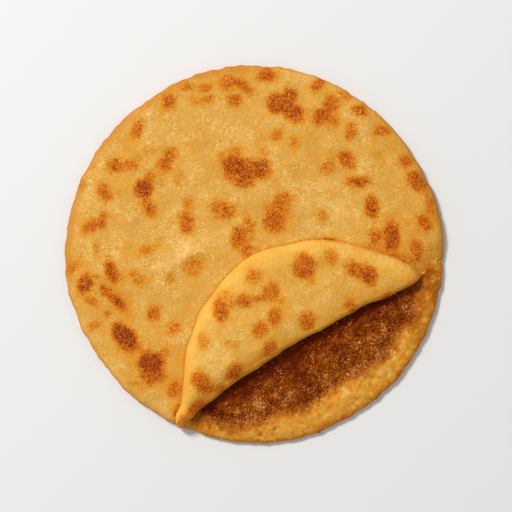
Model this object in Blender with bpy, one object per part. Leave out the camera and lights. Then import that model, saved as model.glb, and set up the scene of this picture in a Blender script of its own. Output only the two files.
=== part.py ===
"""Sweet stuffed flatbread: a round of cooked dough with a sugar filling and its top layer folded back.

The lower layer is a round of dough, hollowed inside a soft raised rim. The filling lies in its hollow,
and the upper layer covers both. Along one chord the upper layer rolls up and back over itself, so that
a flap lies on top of it and the filling shows beside the fold. The flap bulges up a little.

The origin is the middle of the resting face, +Z is up, and all lengths are in metres.
"""

import math

import bmesh
import bpy
import numpy as np

MM = 0.001

# The whole bread, seen from above
UPPER_RADIUS = 90.7 * MM
LOWER_RADIUS = 90.6 * MM
OUTLINE_LOBES = (  # lobes round the outline, their height, the direction of one of them
    (2, 0.15 * MM, math.radians(150)),
    (4, 0.5 * MM, math.radians(92)),
    (8, 0.2 * MM, math.radians(100)),
)

# Lower layer
FLOOR_TOP = 2.4 * MM
RIM_CREST = 4.8 * MM
RIM_CREST_SHARE = 0.55  # where the rim is highest, from the filling's edge to the outline
LOWER_EDGE_HEIGHT = 1.8 * MM
FOOT_INSET = 5.0 * MM  # the outline stands out this far past the flat underside
SPREAD = 1.2 * MM  # where the upper layer leaves the rim bare, it stands out further by up to this
SPREAD_DIRECTION = math.radians(-45)
SPREAD_WIDTH = math.radians(22)

# Filling
FILLING_TOP = 4.6 * MM
FILLING_EDGE_HEIGHT = 0.5 * MM
FILLING_EDGE_WIDTH = 5.0 * MM
FILLING_FOOT_INSET = 1.5 * MM
FILLING_EDGE = (  # directions round the bread, and how far out the filling reaches there
    (math.radians(20), 76.0 * MM),
    (math.radians(200), 76.0 * MM),
    (math.radians(250), 81.5 * MM),
    (math.radians(268), 81.5 * MM),
    (math.radians(280), 76.0 * MM),
    (math.radians(288), 77.5 * MM),
    (math.radians(301), 73.5 * MM),
    (math.radians(312), 75.0 * MM),
    (math.radians(325), 79.0 * MM),
    (math.radians(330), 77.5 * MM),
    (math.radians(338), 81.0 * MM),
    (math.radians(350), 79.5 * MM),
)

# Upper layer
SHEET_THICKNESS = 2.2 * MM
SHEET_EDGE_WIDTH = 4.5 * MM  # the dough thins out over this width at its border
SHEET_WAVES = (  # wavelength, direction and height of each broad wave over its top
    (62 * MM, math.radians(20), 0.18 * MM),
    (47 * MM, math.radians(100), 0.16 * MM),
    (71 * MM, math.radians(150), 0.18 * MM),
)
RIDGE_START = (-48 * MM, -10 * MM)  # a raised crease in the sheet's top, beside the flap
RIDGE_END = (-20 * MM, 5 * MM)
RIDGE_HEIGHT = 1.0 * MM
RIDGE_ENDS = 8 * MM  # it rises and sinks over this length,
RIDGE_SLOPE = 8.5 * MM  # slopes gently over this width to one side
RIDGE_DROP = 3.2 * MM  # and drops over this one to the other
LAYER_GAP = 0.3 * MM
RIM_GAP = 0.5 * MM

# The fold: a chord across the bread, its flap and its roll
FOLD_DIRECTION = math.radians(32)
FOLD_OFFSET = 50.3 * MM  # from the bread's centre to the chord
FOLD_BOW = (2.9 * MM, 1.6 * MM, -0.6 * MM, 0.4 * MM)  # sine waves of the fold about its chord
FOLD_BULGES = (  # where along the chord the fold bulges towards the flap, how wide and how far
    (-62 * MM, 6 * MM, 1.2 * MM),
    (-43 * MM, 10 * MM, 1.0 * MM),
    (-12 * MM, 5 * MM, 0.6 * MM),
    (9 * MM, 5 * MM, -1.4 * MM),
    (33.5 * MM, 7 * MM, 1.4 * MM),
    (61 * MM, 4 * MM, 1.0 * MM),
)
ROLL_RADIUS_MIDDLE = 1.7 * MM
ROLL_RADIUS_LEFT = 1.2 * MM
ROLL_RADIUS_RIGHT = 0.6 * MM
FLAP_REACH = 50.4 * MM
FLAP_PEAK = -3.7 * MM  # along the chord, from its middle
FLAP_RIGHT_END = 63.2 * MM
FLAP_LEFT_POWER = 1.7
FLAP_RIGHT_POWER = 2.3
FLAP_BULGES = (  # where along the chord the flap's border bulges out, how wide and how far
    (-73 * MM, 2.6 * MM, 1.7 * MM),
    (-67 * MM, 2.5 * MM, -0.8 * MM),
    (-52 * MM, 7 * MM, 3.4 * MM),
    (-38 * MM, 9 * MM, 3.8 * MM),
    (-22 * MM, 8 * MM, 1.0 * MM),
    (16 * MM, 10 * MM, -1.8 * MM),
    (57 * MM, 4.5 * MM, 2.0 * MM),
)
FLAP_SETTLE_SHARE = 0.8  # the flap comes down to the sheet over this share of its reach
BULGE_HEIGHT = 3.4 * MM  # the flap bulges up this far between the fold and its border
BULGE_BORDER_SIDE = 12 * MM  # it rises to its full height over this width from its border,
BULGE_FOLD_LEFT = 11 * MM  # over this one from the left part of the fold,
BULGE_FOLD_RIGHT = 27 * MM  # and over this one from the right part
BULGE_CHANGE = (-28 * MM, 14 * MM)  # the left part changes to the right part here along the chord

# Colours and roughness of the materials
PALE_DOUGH = (0.72, 0.38, 0.09)
BROWNED_DOUGH = (0.76, 0.4, 0.1)
BROWN_SUGAR = (0.2, 0.035, 0.008)
PALE_DOUGH_ROUGHNESS = 0.6
BROWNED_DOUGH_ROUGHNESS = 0.55
BROWN_SUGAR_ROUGHNESS = 0.35

# Mesh resolution
ROUND_STEPS = 64
FLOOR_SHARES = (0, 0.35, 0.7, 1)  # rows on the hollow's floor, out to the filling's edge
LEVEL_SHARES = (0, 0.3, 0.65)  # rows on the level part of the filling's top
RIM_RISE_STEPS = 3
RIM_FALL_STEPS = 5
FOOT_STEPS = 3
FILLING_EDGE_STEPS = 4
SHEET_COLUMNS = 38
SHEET_ROWS = 22
ROLL_ROWS = 8
FLAP_ROWS = 17

MERGE_DISTANCE = 0.002 * MM


def bulges(value, rows):
    """Sum of bell curves over (middle, width, height) rows."""
    return sum(height * np.exp(-(((value - middle) / width) ** 2)) for middle, width, height in rows)


def outline(angle, radius):
    """Radius towards an angle: the round's own radius plus a cosine for each of its shallow lobes."""
    lobes = sum(height * np.cos(count * (angle - turn)) for count, height, turn in OUTLINE_LOBES)
    return radius + lobes


def upper_outline(angle):
    """Radius of the upper layer's border."""
    return outline(angle, UPPER_RADIUS)


def lower_outline(angle):
    """Radius of the lower layer's border: the outline, bulging out where the rim is bare."""
    from_spread = (angle - SPREAD_DIRECTION + math.pi) % (2 * math.pi) - math.pi
    return outline(angle, LOWER_RADIUS) + bulges(from_spread, ((0, SPREAD_WIDTH, SPREAD),))


def smooth(share):
    """Smoothstep: 0 up to 0, 1 from 1 on, and 3t^2 - 2t^3 between them."""
    share = np.clip(share, 0, 1)
    return share**2 * (3 - 2 * share)


def parabola(share):
    """0 at 0, rising ever more slowly to 1 at 1: 1 - (1 - t)^2."""
    return 1 - (1 - np.clip(share, 0, 1)) ** 2


def round_off(share):
    """Quarter ellipse: 0 at 0, rising steeply and then levelling out at 1."""
    return np.sqrt(1 - (1 - np.clip(share, 0, 1)) ** 2)


def filling_reach(angle):
    """Radius of the filling's edge: its stations joined by smoothsteps, once round the bread."""
    turns = np.array([station for station, _ in FILLING_EDGE])
    reach = np.array([radius for _, radius in FILLING_EDGE])
    turns = np.append(turns, turns[0] + 2 * math.pi)
    reach = np.append(reach, reach[0])
    angle = turns[0] + (angle - turns[0]) % (2 * math.pi)
    before = np.clip(np.searchsorted(turns, angle, side="right") - 1, 0, len(turns) - 2)
    share = (angle - turns[before]) / (turns[before + 1] - turns[before])
    return reach[before] + (reach[before + 1] - reach[before]) * smooth(share)


def rim_share(x, y, border):
    """0 at the filling's edge and 1 at a layer's border, straight along each radius."""
    angle = np.arctan2(y, x)
    inner = filling_reach(angle)
    return (np.hypot(x, y) - inner) / (border(angle) - inner)


def rim_fall(share):
    """Height of the rim's outer side: 1 up to its crest, then a quarter ellipse down to 0."""
    return round_off((1 - share) / (1 - RIM_CREST_SHARE))


def lower_top(x, y):
    """Top of the lower layer: the flat floor, a smooth rise to the crest, and the rim's fall."""
    share = rim_share(x, y, lower_outline)
    inner = FLOOR_TOP + (RIM_CREST - FLOOR_TOP) * smooth(share / RIM_CREST_SHARE)
    outer = LOWER_EDGE_HEIGHT + (RIM_CREST - LOWER_EDGE_HEIGHT) * rim_fall(share)
    return np.where(share < RIM_CREST_SHARE, inner, outer)


def sheet_bottom(x, y):
    """Underside of the upper layer: level with the crest inside, and drooping with the rim outside."""
    share = rim_share(x, y, upper_outline)
    edge = LOWER_EDGE_HEIGHT + RIM_GAP
    return edge + (RIM_CREST + LAYER_GAP - edge) * rim_fall(share)


def sheet_thickness(from_border):
    """Full thickness inside, and a rounded border."""
    return SHEET_THICKNESS * round_off(from_border / SHEET_EDGE_WIDTH)


def sheet_relief(x, y):
    """Unevenness of the flat sheet's top: broad cosine waves, and a ridge of lopsided bell section."""
    waves = sum(
        height * np.cos(2 * math.pi / length * (x * math.cos(turn) + y * math.sin(turn)))
        for length, turn, height in SHEET_WAVES
    )
    run_x, run_y = RIDGE_END[0] - RIDGE_START[0], RIDGE_END[1] - RIDGE_START[1]
    length = math.hypot(run_x, run_y)
    along = ((x - RIDGE_START[0]) * run_x + (y - RIDGE_START[1]) * run_y) / length
    across = ((y - RIDGE_START[1]) * run_x - (x - RIDGE_START[0]) * run_y) / length
    ends = smooth(along / RIDGE_ENDS) * smooth((length - along) / RIDGE_ENDS)
    width = np.where(across > 0, RIDGE_SLOPE, RIDGE_DROP)
    return waves + RIDGE_HEIGHT * ends * np.exp(-((across / width) ** 2))


def sheet_top(x, y):
    """Top of the upper layer where it lies flat."""
    from_border = upper_outline(np.arctan2(y, x)) - np.hypot(x, y)
    relief = sheet_relief(x, y) * smooth(from_border / (2 * SHEET_EDGE_WIDTH))
    return sheet_bottom(x, y) + sheet_thickness(from_border) + relief


def place(along, across):
    """World x and y of a point given along the fold's chord and square to it."""
    x = along * math.cos(FOLD_DIRECTION) - across * math.sin(FOLD_DIRECTION)
    y = along * math.sin(FOLD_DIRECTION) + across * math.cos(FOLD_DIRECTION)
    return x, y


def roll_radius(column):
    """Radius of the fold's roll: an ellipse from its small ends at -1 and 1 to its middle at 0."""
    end = ROLL_RADIUS_LEFT + (ROLL_RADIUS_RIGHT - ROLL_RADIUS_LEFT) * (column + 1) / 2
    return end + (ROLL_RADIUS_MIDDLE - end) * np.sqrt(1 - column**2)


def fold_line(column):
    """Where the flat sheet ends and the roll starts, square to the chord.

    The roll bulges back by its radius and half the dough, so that its outside meets the chord. That
    and the fold's bulges end at the outline like half an ellipse, and sine waves bow the chord itself.
    """
    share = (column + 1) / 2
    bow = sum(height * np.sin((wave + 1) * math.pi * share) for wave, height in enumerate(FOLD_BOW))
    along = column * math.sqrt(UPPER_RADIUS**2 - FOLD_OFFSET**2)
    rolled = bulges(along, FOLD_BULGES) + roll_radius(column) + SHEET_THICKNESS / 2
    return -FOLD_OFFSET + bow + rolled * np.sqrt(1 - column**2)


def flap_bulge(along, from_fold, from_border):
    """How far the flap bulges up: a parabola from the fold's outside times one from its border."""
    change_start, change_end = BULGE_CHANGE
    right_share = smooth((along - change_start) / (change_end - change_start))
    fold_side = BULGE_FOLD_LEFT + (BULGE_FOLD_RIGHT - BULGE_FOLD_LEFT) * right_share
    return BULGE_HEIGHT * parabola(from_fold / fold_side) * parabola(from_border / BULGE_BORDER_SIDE)


def flat_rows(columns):
    """The flat sheet as chords of the outline, from the far rim's single point to the fold line.

    A chord at angle t from the far rim lies at radius times cos t and is half as wide as radius
    times sin t. The last chords bend smoothly into the fold line.
    """
    last = math.acos(fold_line(1.0) / UPPER_RADIUS)
    turn = np.linspace(0, last, SHEET_ROWS + 1)[:, None]
    along = np.sin(turn) * columns
    across = np.cos(turn) * np.ones_like(columns)
    x, y = place(along, across)
    scale = upper_outline(np.arctan2(y, x))
    bend = smooth(2 * turn / last - 1) * (fold_line(columns) - fold_line(1.0))
    along, across = along * scale, across * scale + bend
    x, y = place(along, across)
    bottom, top = sheet_bottom(x, y), sheet_top(x, y)
    return along, across, (bottom + top) / 2, (top - bottom) / 2


def flap_rows(columns):
    """The flap as rows over the flat sheet, from the roll's top to the flap's peak.

    Its sides follow reach times (1 - t^power), t being the distance from the peak over the side's
    length, and then the bulges of its border, which stretch each column. It lies on the sheet, apart
    from its own bulge and a gap as wide as the roll, which closes as a cosine. The last value is the
    distance from the flap's border.
    """
    rise = np.sin(np.linspace(0, math.pi / 2, FLAP_ROWS + 1))[:, None]
    left_end = UPPER_RADIUS * math.sqrt(1 - (fold_line(1.0) / UPPER_RADIUS) ** 2)
    left_length, right_length = FLAP_PEAK + left_end, FLAP_RIGHT_END - FLAP_PEAK
    left = FLAP_PEAK - left_length * (1 - rise) ** (1 / FLAP_LEFT_POWER)
    right = FLAP_PEAK + right_length * (1 - rise) ** (1 / FLAP_RIGHT_POWER)
    along = left + (right - left) * (columns + 1) / 2

    side = np.where(along < FLAP_PEAK, left_length, right_length)
    power = np.where(along < FLAP_PEAK, FLAP_LEFT_POWER, FLAP_RIGHT_POWER)
    from_peak = np.clip(np.abs(along - FLAP_PEAK) / side, 0, 1)
    plain_reach = FLAP_REACH * (1 - from_peak**power)
    slope = FLAP_REACH * power / side * from_peak ** (power - 1)
    reach = plain_reach + bulges(along, FLAP_BULGES)
    reach[0] = plain_reach[0]
    share = np.clip(FLAP_REACH * rise / np.maximum(plain_reach, LAYER_GAP), 0, 1)
    above = share * reach
    across = fold_line(1.0) + above + (fold_line(columns) - fold_line(1.0)) * (1 - rise) ** 2
    from_border = np.clip(reach - above, 0, None) / np.sqrt(1 + slope**2)
    half = sheet_thickness(from_border) / 2

    settled = np.minimum(share / FLAP_SETTLE_SHARE, 1)
    opening = 2 * roll_radius(columns) - LAYER_GAP - 2 * half[:1]
    gap = LAYER_GAP + np.clip(opening, 0, None) * (1 + np.cos(math.pi * settled)) / 2
    bulge = flap_bulge(along, roll_radius(columns) + above, from_border)
    middle = sheet_top(*place(along, across)) + gap + half + bulge
    return along, across, middle, half, from_border


def sheet_skins():
    """Both skins of the upper layer: its middle surface, plus and minus half the dough.

    On the roll the middle surface is half an ellipse between the flat sheet and the flap, and the
    dough's own up direction turns with it. The flap's bulge starts at the roll's outside.
    """
    columns = -np.cos(np.linspace(0, math.pi, SHEET_COLUMNS + 1))[None, :]
    columns[0, 0], columns[0, -1] = -1, 1
    flat = flat_rows(columns)
    *flap, from_border = flap_rows(columns)
    turn = np.linspace(0, math.pi, ROLL_ROWS + 2)[1:-1, None]
    over = (1 - np.cos(turn)) / 2
    roll = [first[-1:] + (last[:1] - first[-1:]) * over for first, last in zip(flat, flap)]
    out = roll_radius(columns)
    roll[1] = roll[1] - out * np.sin(turn)
    from_outside = np.where(turn > math.pi / 2, out * (1 - np.sin(turn)), 0)
    bulge, whole = (flap_bulge(flap[0][:1], way, from_border[:1]) for way in (from_outside, out))
    roll[2] = roll[2] + bulge - whole * over
    along, across, middle, half = (np.concatenate(parts) for parts in zip(flat, roll, flap))
    lean = np.concatenate([np.zeros((len(flat[0]), 1)), turn, np.full((len(flap[0]), 1), math.pi)])
    skins = []
    for side in (1, -1):
        x, y = place(along, across + side * half * np.sin(lean))
        skins.append(np.stack([x, y, middle + side * half * np.cos(lean)], axis=-1))
    return skins


def add_grid(mesh, points):
    """Adds a grid of points to a bmesh as four-sided faces."""
    rows = [[mesh.verts.new(point) for point in row] for row in points]
    for lower, upper in zip(rows, rows[1:]):
        for corner in range(len(lower) - 1):
            mesh.faces.new((lower[corner], lower[corner + 1], upper[corner + 1], upper[corner]))


def material(name, colour, roughness):
    """A Principled material of one colour."""
    made = bpy.data.materials.new(name)
    made.use_nodes = True
    shader = made.node_tree.nodes["Principled BSDF"]
    shader.inputs["Base Color"].default_value = (*colour, 1)
    shader.inputs["Roughness"].default_value = roughness
    shader.inputs["Metallic"].default_value = 0
    return made


def closed_object(name, skins, finish):
    """One closed body from skins that share their borders, with any flat hole left under it capped."""
    mesh = bmesh.new()
    for skin in skins:
        add_grid(mesh, skin)
    bmesh.ops.remove_doubles(mesh, verts=mesh.verts, dist=MERGE_DISTANCE)
    bmesh.ops.holes_fill(mesh, edges=[edge for edge in mesh.edges if edge.is_boundary], sides=0)
    bmesh.ops.recalc_face_normals(mesh, faces=mesh.faces)
    data = bpy.data.meshes.new(name)
    mesh.to_mesh(data)
    mesh.free()
    data.shade_smooth()
    data.materials.append(finish)
    made = bpy.data.objects.new(name, data)
    bpy.context.collection.objects.link(made)
    return made


def round_points(radii, height):
    """A round grid: one ring of points for each row of radii, at the height given for them."""
    angle = np.linspace(0, 2 * math.pi, ROUND_STEPS + 1)[None, :]
    x, y = radii * np.cos(angle), radii * np.sin(angle)
    return np.stack([x, y, height(x, y) * np.ones_like(x)], axis=-1)


def make_lower_layer():
    """The hollowed round of dough under the filling, with a flat underside that turns up at its rim."""
    angle = np.linspace(0, 2 * math.pi, ROUND_STEPS + 1)[None, :]
    inner, outer = filling_reach(angle), lower_outline(angle)
    floor_shares = np.array(FLOOR_SHARES)[:, None]
    rise = RIM_CREST_SHARE * np.linspace(0, 1, RIM_RISE_STEPS + 1)[1:, None]
    quarter = np.sin(np.linspace(0, math.pi / 2, RIM_FALL_STEPS + 1))[1:, None]
    fall = RIM_CREST_SHARE + (1 - RIM_CREST_SHARE) * quarter
    rim = inner + np.concatenate([rise, fall]) * (outer - inner)
    top_radii = np.concatenate([floor_shares * inner, rim])
    foot = outer - FOOT_INSET
    under_shares = np.sin(np.linspace(0, math.pi / 2, FOOT_STEPS + 1))[:, None]

    def underside(x, y):
        out = (np.hypot(x, y) - foot) / FOOT_INSET
        return LOWER_EDGE_HEIGHT * (1 - round_off(1 - out))

    skins = [
        round_points(top_radii, lower_top),
        round_points(foot + under_shares * FOOT_INSET, underside),
    ]
    return closed_object("lower_layer", skins, material("pale_dough", PALE_DOUGH, PALE_DOUGH_ROUGHNESS))


def make_filling():
    """The sugar filling: level, with a soft edge, and a flat underside above the hollow's floor."""
    angle = np.linspace(0, 2 * math.pi, ROUND_STEPS + 1)[None, :]
    edge = filling_reach(angle)
    bottom = FLOOR_TOP + LAYER_GAP
    edge_height = bottom + FILLING_EDGE_HEIGHT
    level_shares = np.array(LEVEL_SHARES)[:, None]
    quarter = np.sin(np.linspace(0, math.pi / 2, FILLING_EDGE_STEPS + 1))[:, None]
    radii = np.concatenate([level_shares * edge, edge + (quarter - 1) * FILLING_EDGE_WIDTH])

    def top(x, y):
        from_edge = edge - np.hypot(x, y)
        return edge_height + (FILLING_TOP - edge_height) * round_off(from_edge / FILLING_EDGE_WIDTH)

    def side(x, y):
        out = 1 + (np.hypot(x, y) - edge) / FILLING_FOOT_INSET
        return bottom + FILLING_EDGE_HEIGHT * out

    foot = np.array([1, 0])[:, None] * FILLING_FOOT_INSET
    skins = [round_points(radii, top), round_points(edge - foot, side)]
    return closed_object("filling", skins, material("brown_sugar", BROWN_SUGAR, BROWN_SUGAR_ROUGHNESS))


def make_upper_layer():
    """The covering sheet of dough, rolled up along the fold and lying back over itself as a flap."""
    finish = material("browned_dough", BROWNED_DOUGH, BROWNED_DOUGH_ROUGHNESS)
    return closed_object("upper_layer", sheet_skins(), finish)


def main():
    for item in list(bpy.data.objects):
        bpy.data.objects.remove(item, do_unlink=True)
    make_lower_layer()
    make_filling()
    make_upper_layer()


main()
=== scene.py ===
"""Looks of a sweet stuffed flatbread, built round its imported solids.

The bread lies flat, with its origin in the middle of its resting face, +Z up and all lengths in metres.
Each piece is a grid of points worked out by formula. The sidebar's Flatbread tab lists the pieces, their
sizes and their colours.
"""

import math

import bmesh
import bpy
import numpy as np
from bpy.props import FloatProperty, FloatVectorProperty, IntProperty, PointerProperty
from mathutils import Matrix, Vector


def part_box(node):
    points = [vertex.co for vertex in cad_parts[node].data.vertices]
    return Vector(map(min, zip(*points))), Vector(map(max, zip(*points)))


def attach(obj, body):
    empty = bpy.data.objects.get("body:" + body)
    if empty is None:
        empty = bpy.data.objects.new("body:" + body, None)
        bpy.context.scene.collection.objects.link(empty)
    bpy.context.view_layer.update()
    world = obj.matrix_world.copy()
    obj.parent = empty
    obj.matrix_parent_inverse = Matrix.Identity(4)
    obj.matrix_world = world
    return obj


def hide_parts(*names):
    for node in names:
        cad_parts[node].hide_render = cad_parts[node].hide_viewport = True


bl_info = {
    "name": "Sweet stuffed flatbread",
    "version": (1, 0, 0),
    "blender": (4, 5, 0),
    "location": "View3D > Sidebar > Flatbread",
    "description": "A browned round of dough with a sugar filling and its top layer folded back",
    "category": "Add Mesh",
}

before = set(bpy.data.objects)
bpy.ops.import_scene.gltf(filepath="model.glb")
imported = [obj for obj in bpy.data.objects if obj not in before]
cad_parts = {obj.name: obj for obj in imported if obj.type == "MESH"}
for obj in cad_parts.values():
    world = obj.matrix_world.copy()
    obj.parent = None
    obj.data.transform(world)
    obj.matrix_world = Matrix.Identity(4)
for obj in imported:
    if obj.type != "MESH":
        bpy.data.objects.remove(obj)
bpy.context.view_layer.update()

MM = 0.001
TURN = 2 * math.pi

# The outline, seen from above: shallow lobes (count, height, direction) and noise (cell, height)
OUTLINE_LOBES = (
    (2, 0.15 * MM, math.radians(150)),
    (4, 0.5 * MM, math.radians(92)),
    (8, 0.2 * MM, math.radians(100)),
)
OUTLINE_NOISE = ((11 * MM, 0.55 * MM), (5 * MM, 0.45 * MM), (2.4 * MM, 0.26 * MM))
NOTCH_DIRECTION = math.radians(-2.1)  # the outline is notched where the fold meets it on the right
NOTCH_WIDTH = math.radians(0.8)
NOTCH_DEPTH = 1.5 * MM

# Lower layer: its rim, in shares of the way from the filling's edge to the border, then the lumps and
# pits (x, y, radius) of the ring that shows beside the filling, and its underside
SPREAD_DIRECTION = math.radians(-45)  # the uncovered rim stands out further, most of all here
SPREAD_WIDTH = math.radians(22)
SPREAD = 1.2 * MM
RIM_START_SHARE = -0.9  # the rim rises from here on, under the filling
RIM_CREST_SHARE = 0.55
LOWER_EDGE_HEIGHT = 1.8 * MM
RING_NOISE = ((9 * MM, 0.45 * MM), (4 * MM, 0.38 * MM), (1.9 * MM, 0.22 * MM))
RING_PITS = (
    (-5.5 * MM, -83 * MM, 1.4 * MM),
    (10.5 * MM, -84 * MM, 1.1 * MM),
    (3 * MM, -87 * MM, 1.4 * MM),
    (36 * MM, -75.5 * MM, 1.2 * MM),
    (57 * MM, -60 * MM, 1.3 * MM),
    (76 * MM, -38 * MM, 1.2 * MM),
)
PIT_DEPTH = 0.8 * MM
RING_FOLD_FADE = 6 * MM  # its lumps and pits fade out over this width under the fold
RING_BORDER_FADE = 0.25  # and over this share of the way at the border
RING_BROWN_SHARE = 0.72  # past this share of the way it is browner: partly browning, partly painted shade at its outer edge
RING_BROWN = 0.3
UNDERSIDE_NOISE = ((14 * MM, 0.12 * MM), (5 * MM, 0.06 * MM))
UNDERSIDE_SPOTS = 120
UNDERSIDE_SPOT_LENGTHS = (1.2, 6.4)  # half lengths in mm, most of them short
UNDERSIDE_SPOT_WIDTHS = (0.5, 0.95)  # as shares of the length
UNDERSIDE_SPOT_DEPTHS = (0.3, 0.6)
LARGE_SPOT_LENGTH = 3.5  # longer spots are deeper
LARGE_SPOT_DEEPER = 0.35

# Filling: directions round the bread, and how far out it reaches there
FILLING_EDGE = (
    (math.radians(20), 76.0 * MM),
    (math.radians(200), 76.0 * MM),
    (math.radians(250), 81.5 * MM),
    (math.radians(268), 81.5 * MM),
    (math.radians(280), 76.0 * MM),
    (math.radians(288), 77.5 * MM),
    (math.radians(301), 73.5 * MM),
    (math.radians(312), 75.0 * MM),
    (math.radians(325), 79.0 * MM),
    (math.radians(330), 77.5 * MM),
    (math.radians(338), 81.0 * MM),
    (math.radians(350), 79.5 * MM),
)
FILLING_OVERLAP = 1.5 * MM  # its thin edge lies this far up the ring's inner slope
FILLING_SINK = 0.25 * MM  # and is pressed this far into it
FILLING_EDGE_NOISE = ((6 * MM, 1.0 * MM), (2.2 * MM, 0.6 * MM))
FILLING_SLOPE = 9 * MM  # it rises from its edge to its full height over this width
LUMPS = ((7 * MM, 0.8 * MM), (3.2 * MM, 0.5 * MM), (1.5 * MM, 0.3 * MM))
LUMPS_HEIGHT = sum(height for _, height in LUMPS)
LUMPS_MEAN = 0.3 * LUMPS_HEIGHT
LUMPS_SPAN = 0.7 * LUMPS_HEIGHT  # the lumps' colour goes from dark to light over this height
FILLING_SHADE = (1 * MM, 10 * MM)  # beside the fold it is smoother and darker, partly painted shade and partly wetter syrup; this fades between these
SHADE_DARK = 0.4
SOAK_BAND = (-6.5 * MM, 8.5 * MM)  # its sugar runs out between these, measured outwards from its edge

# Loose sugar grains
GRAINS_AT_FOLD = 0.06  # share of them that is left beside the fold
GRAIN_SUGAR = (0.25, 0.9)  # they get denser between these shares of sugar
GRAIN_DRAWS = 6  # places drawn for each grain
GRAIN_INNER = 0.2  # share of the round's area, in its middle, where no place is drawn
GRAIN_UNDER_FOLD = 5 * MM  # they reach this far in under the fold
GRAIN_SIZE_SPREAD = 0.28
GRAIN_STRETCH = (0.65, 1.15)
GRAIN_CORNERS = (0.55, 1)  # how far out the corners of a grain's box are left
GRAIN_RISE = 0.1  # share of its size that a grain's middle lies above the filling

# Upper layer: broad waves (wavelength, direction, height), finer noise, and a raised crease
SHEET_WAVES = (
    (62 * MM, math.radians(20), 0.18 * MM),
    (47 * MM, math.radians(100), 0.16 * MM),
    (71 * MM, math.radians(150), 0.18 * MM),
)
SHEET_NOISE = ((17 * MM, 0.3 * MM), (8 * MM, 0.2 * MM), (3.5 * MM, 0.09 * MM))
FLAP_NOISE = ((19 * MM, 0.35 * MM), (8 * MM, 0.26 * MM), (4 * MM, 0.13 * MM), (2 * MM, 0.05 * MM))
RIDGE_START = (-48 * MM, -10 * MM)
RIDGE_END = (-20 * MM, 5 * MM)
RIDGE_ENDS = 8 * MM  # the crease rises and sinks over this length
RIDGE_SLOPE = 8.5 * MM  # it slopes gently over this width to one side
RIDGE_DROP = 3.2 * MM  # and drops over this width to the other
SEAM_SINK = 0.15 * MM  # the upper layer's border is pressed this far into the ring's
LAYER_GAP = 0.05 * MM

# The fold: sine waves of its line about the chord, and the flap's outline over the chord
FOLD_BOW = (2.9 * MM, 1.6 * MM, -0.6 * MM, 0.4 * MM)
FOLD_BULGES = (  # where along the chord its line bulges towards the flap, how wide and how far
    (-62 * MM, 6 * MM, 1.2 * MM),
    (-43 * MM, 10 * MM, 1.0 * MM),
    (-12 * MM, 5 * MM, 0.6 * MM),
    (9 * MM, 5 * MM, -1.4 * MM),
    (33.5 * MM, 7 * MM, 1.4 * MM),
    (61 * MM, 4 * MM, 1.0 * MM),
)
FOLD_NOISE = ((7 * MM, 0.2 * MM), (3 * MM, 0.1 * MM))
FLAP_LEFT_POWER = 1.7
FLAP_RIGHT_POWER = 2.3
FLAP_BULGES = (  # where along the chord the flap's border bulges out, how wide and how far
    (-73 * MM, 2.6 * MM, 1.7 * MM),
    (-67 * MM, 2.5 * MM, -0.8 * MM),
    (-52 * MM, 7 * MM, 3.4 * MM),
    (-38 * MM, 9 * MM, 3.8 * MM),
    (-22 * MM, 8 * MM, 1.0 * MM),
    (16 * MM, 10 * MM, -1.8 * MM),
    (57 * MM, 4.5 * MM, 2.0 * MM),
)
FLAP_SETTLE_SHARE = 0.8  # past this share of its reach the flap lies on the sheet
FLAP_PUFF_LENGTH = 45 * MM  # it grows thicker over this length, from its peak to the left
DOME_BORDER_SIDE = 12 * MM  # it bulges to its full height over this width from its border
DOME_FOLD_LEFT = 11 * MM  # over this one from the fold's left part
DOME_FOLD_RIGHT = 27 * MM  # and over this one from its right part
DOME_CHANGE = (-28 * MM, 14 * MM)  # where along the chord the one width changes to the other
SEAL_START = 0.78  # past this column the sheet is pressed down on the ring, instead of rolled up
SEAL_WIDTH = 0.06
SEAL_SLOPE = 11 * MM  # the pressed sheet thins out and sinks in over this width
SEALED_SHARE = 0.05  # of the dough's thickness is left at its edge
SEAL_DEPTH = 0.3 * MM
SEALED_ROLL = 0.05 * MM

# Tones of the upper layer, with painted highlight, painted warm light and painted shade among them
FLAP_HIGHLIGHT = 0.14  # painted highlight, which makes the flap lighter than the sheet below it
BORDER_HIGHLIGHT = 0.22  # and more painted highlight at its border, over the width of its border band
BORDER_BAND = 12 * MM
FOLD_BOUNCE_TINT = 0.16  # painted warm light beside the fold, as bounced and shone through the dough, fading between the next two
FOLD_BAND = (0.5 * MM, 7 * MM)
RIM_SHADE_AND_BROWN = 0.5  # partly browning and partly painted shade, as from a dish's wall, on the sheet's rim on one side
RIM_SHADE_DIRECTION = math.radians(138)
RIM_SHADE_COSINES = (0.4, 0.8)  # of the turn from that direction: none below the first, all above the second
RIM_SHADE_BAND = (2 * MM, 6 * MM)  # distances from the border between which it fades
CONTACT_WIDTH = 0.8 * MM  # the sheet is browner over this width beside the flap's border: partly browning, partly painted contact shade
CONTACT_SHADE_AND_BROWN = 0.3
CONTACT_LEFT = 0.75  # by this share of it up to the first of the next two, along the chord
CONTACT_BAND = (0 * MM, 30 * MM)  # and in full past the second
SHEET_LEAN = (0, 0.5)  # turns of the roll, in radians, between which the sheet's browning ends
FLAP_LEAN = (0.3, 0.9)  # and the flap's begins

# Browning: how far noise pushes a spot's edge about, and where its core and its halo fade
SPOT_WARP = ((5 * MM, 0.8 * MM), (1.9 * MM, 0.5 * MM))
SPOT_CORE_FADE = (-1.8 * MM, 1.2 * MM)
SPOT_HALO_FADE = (-0.6 * MM, 3.0 * MM)
SPOT_HALO_SHARE = 0.36  # how deep the halo is, as a share of the core
SPOT_RISE = 0.22 * MM  # how far the deepest spot stands up

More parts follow.
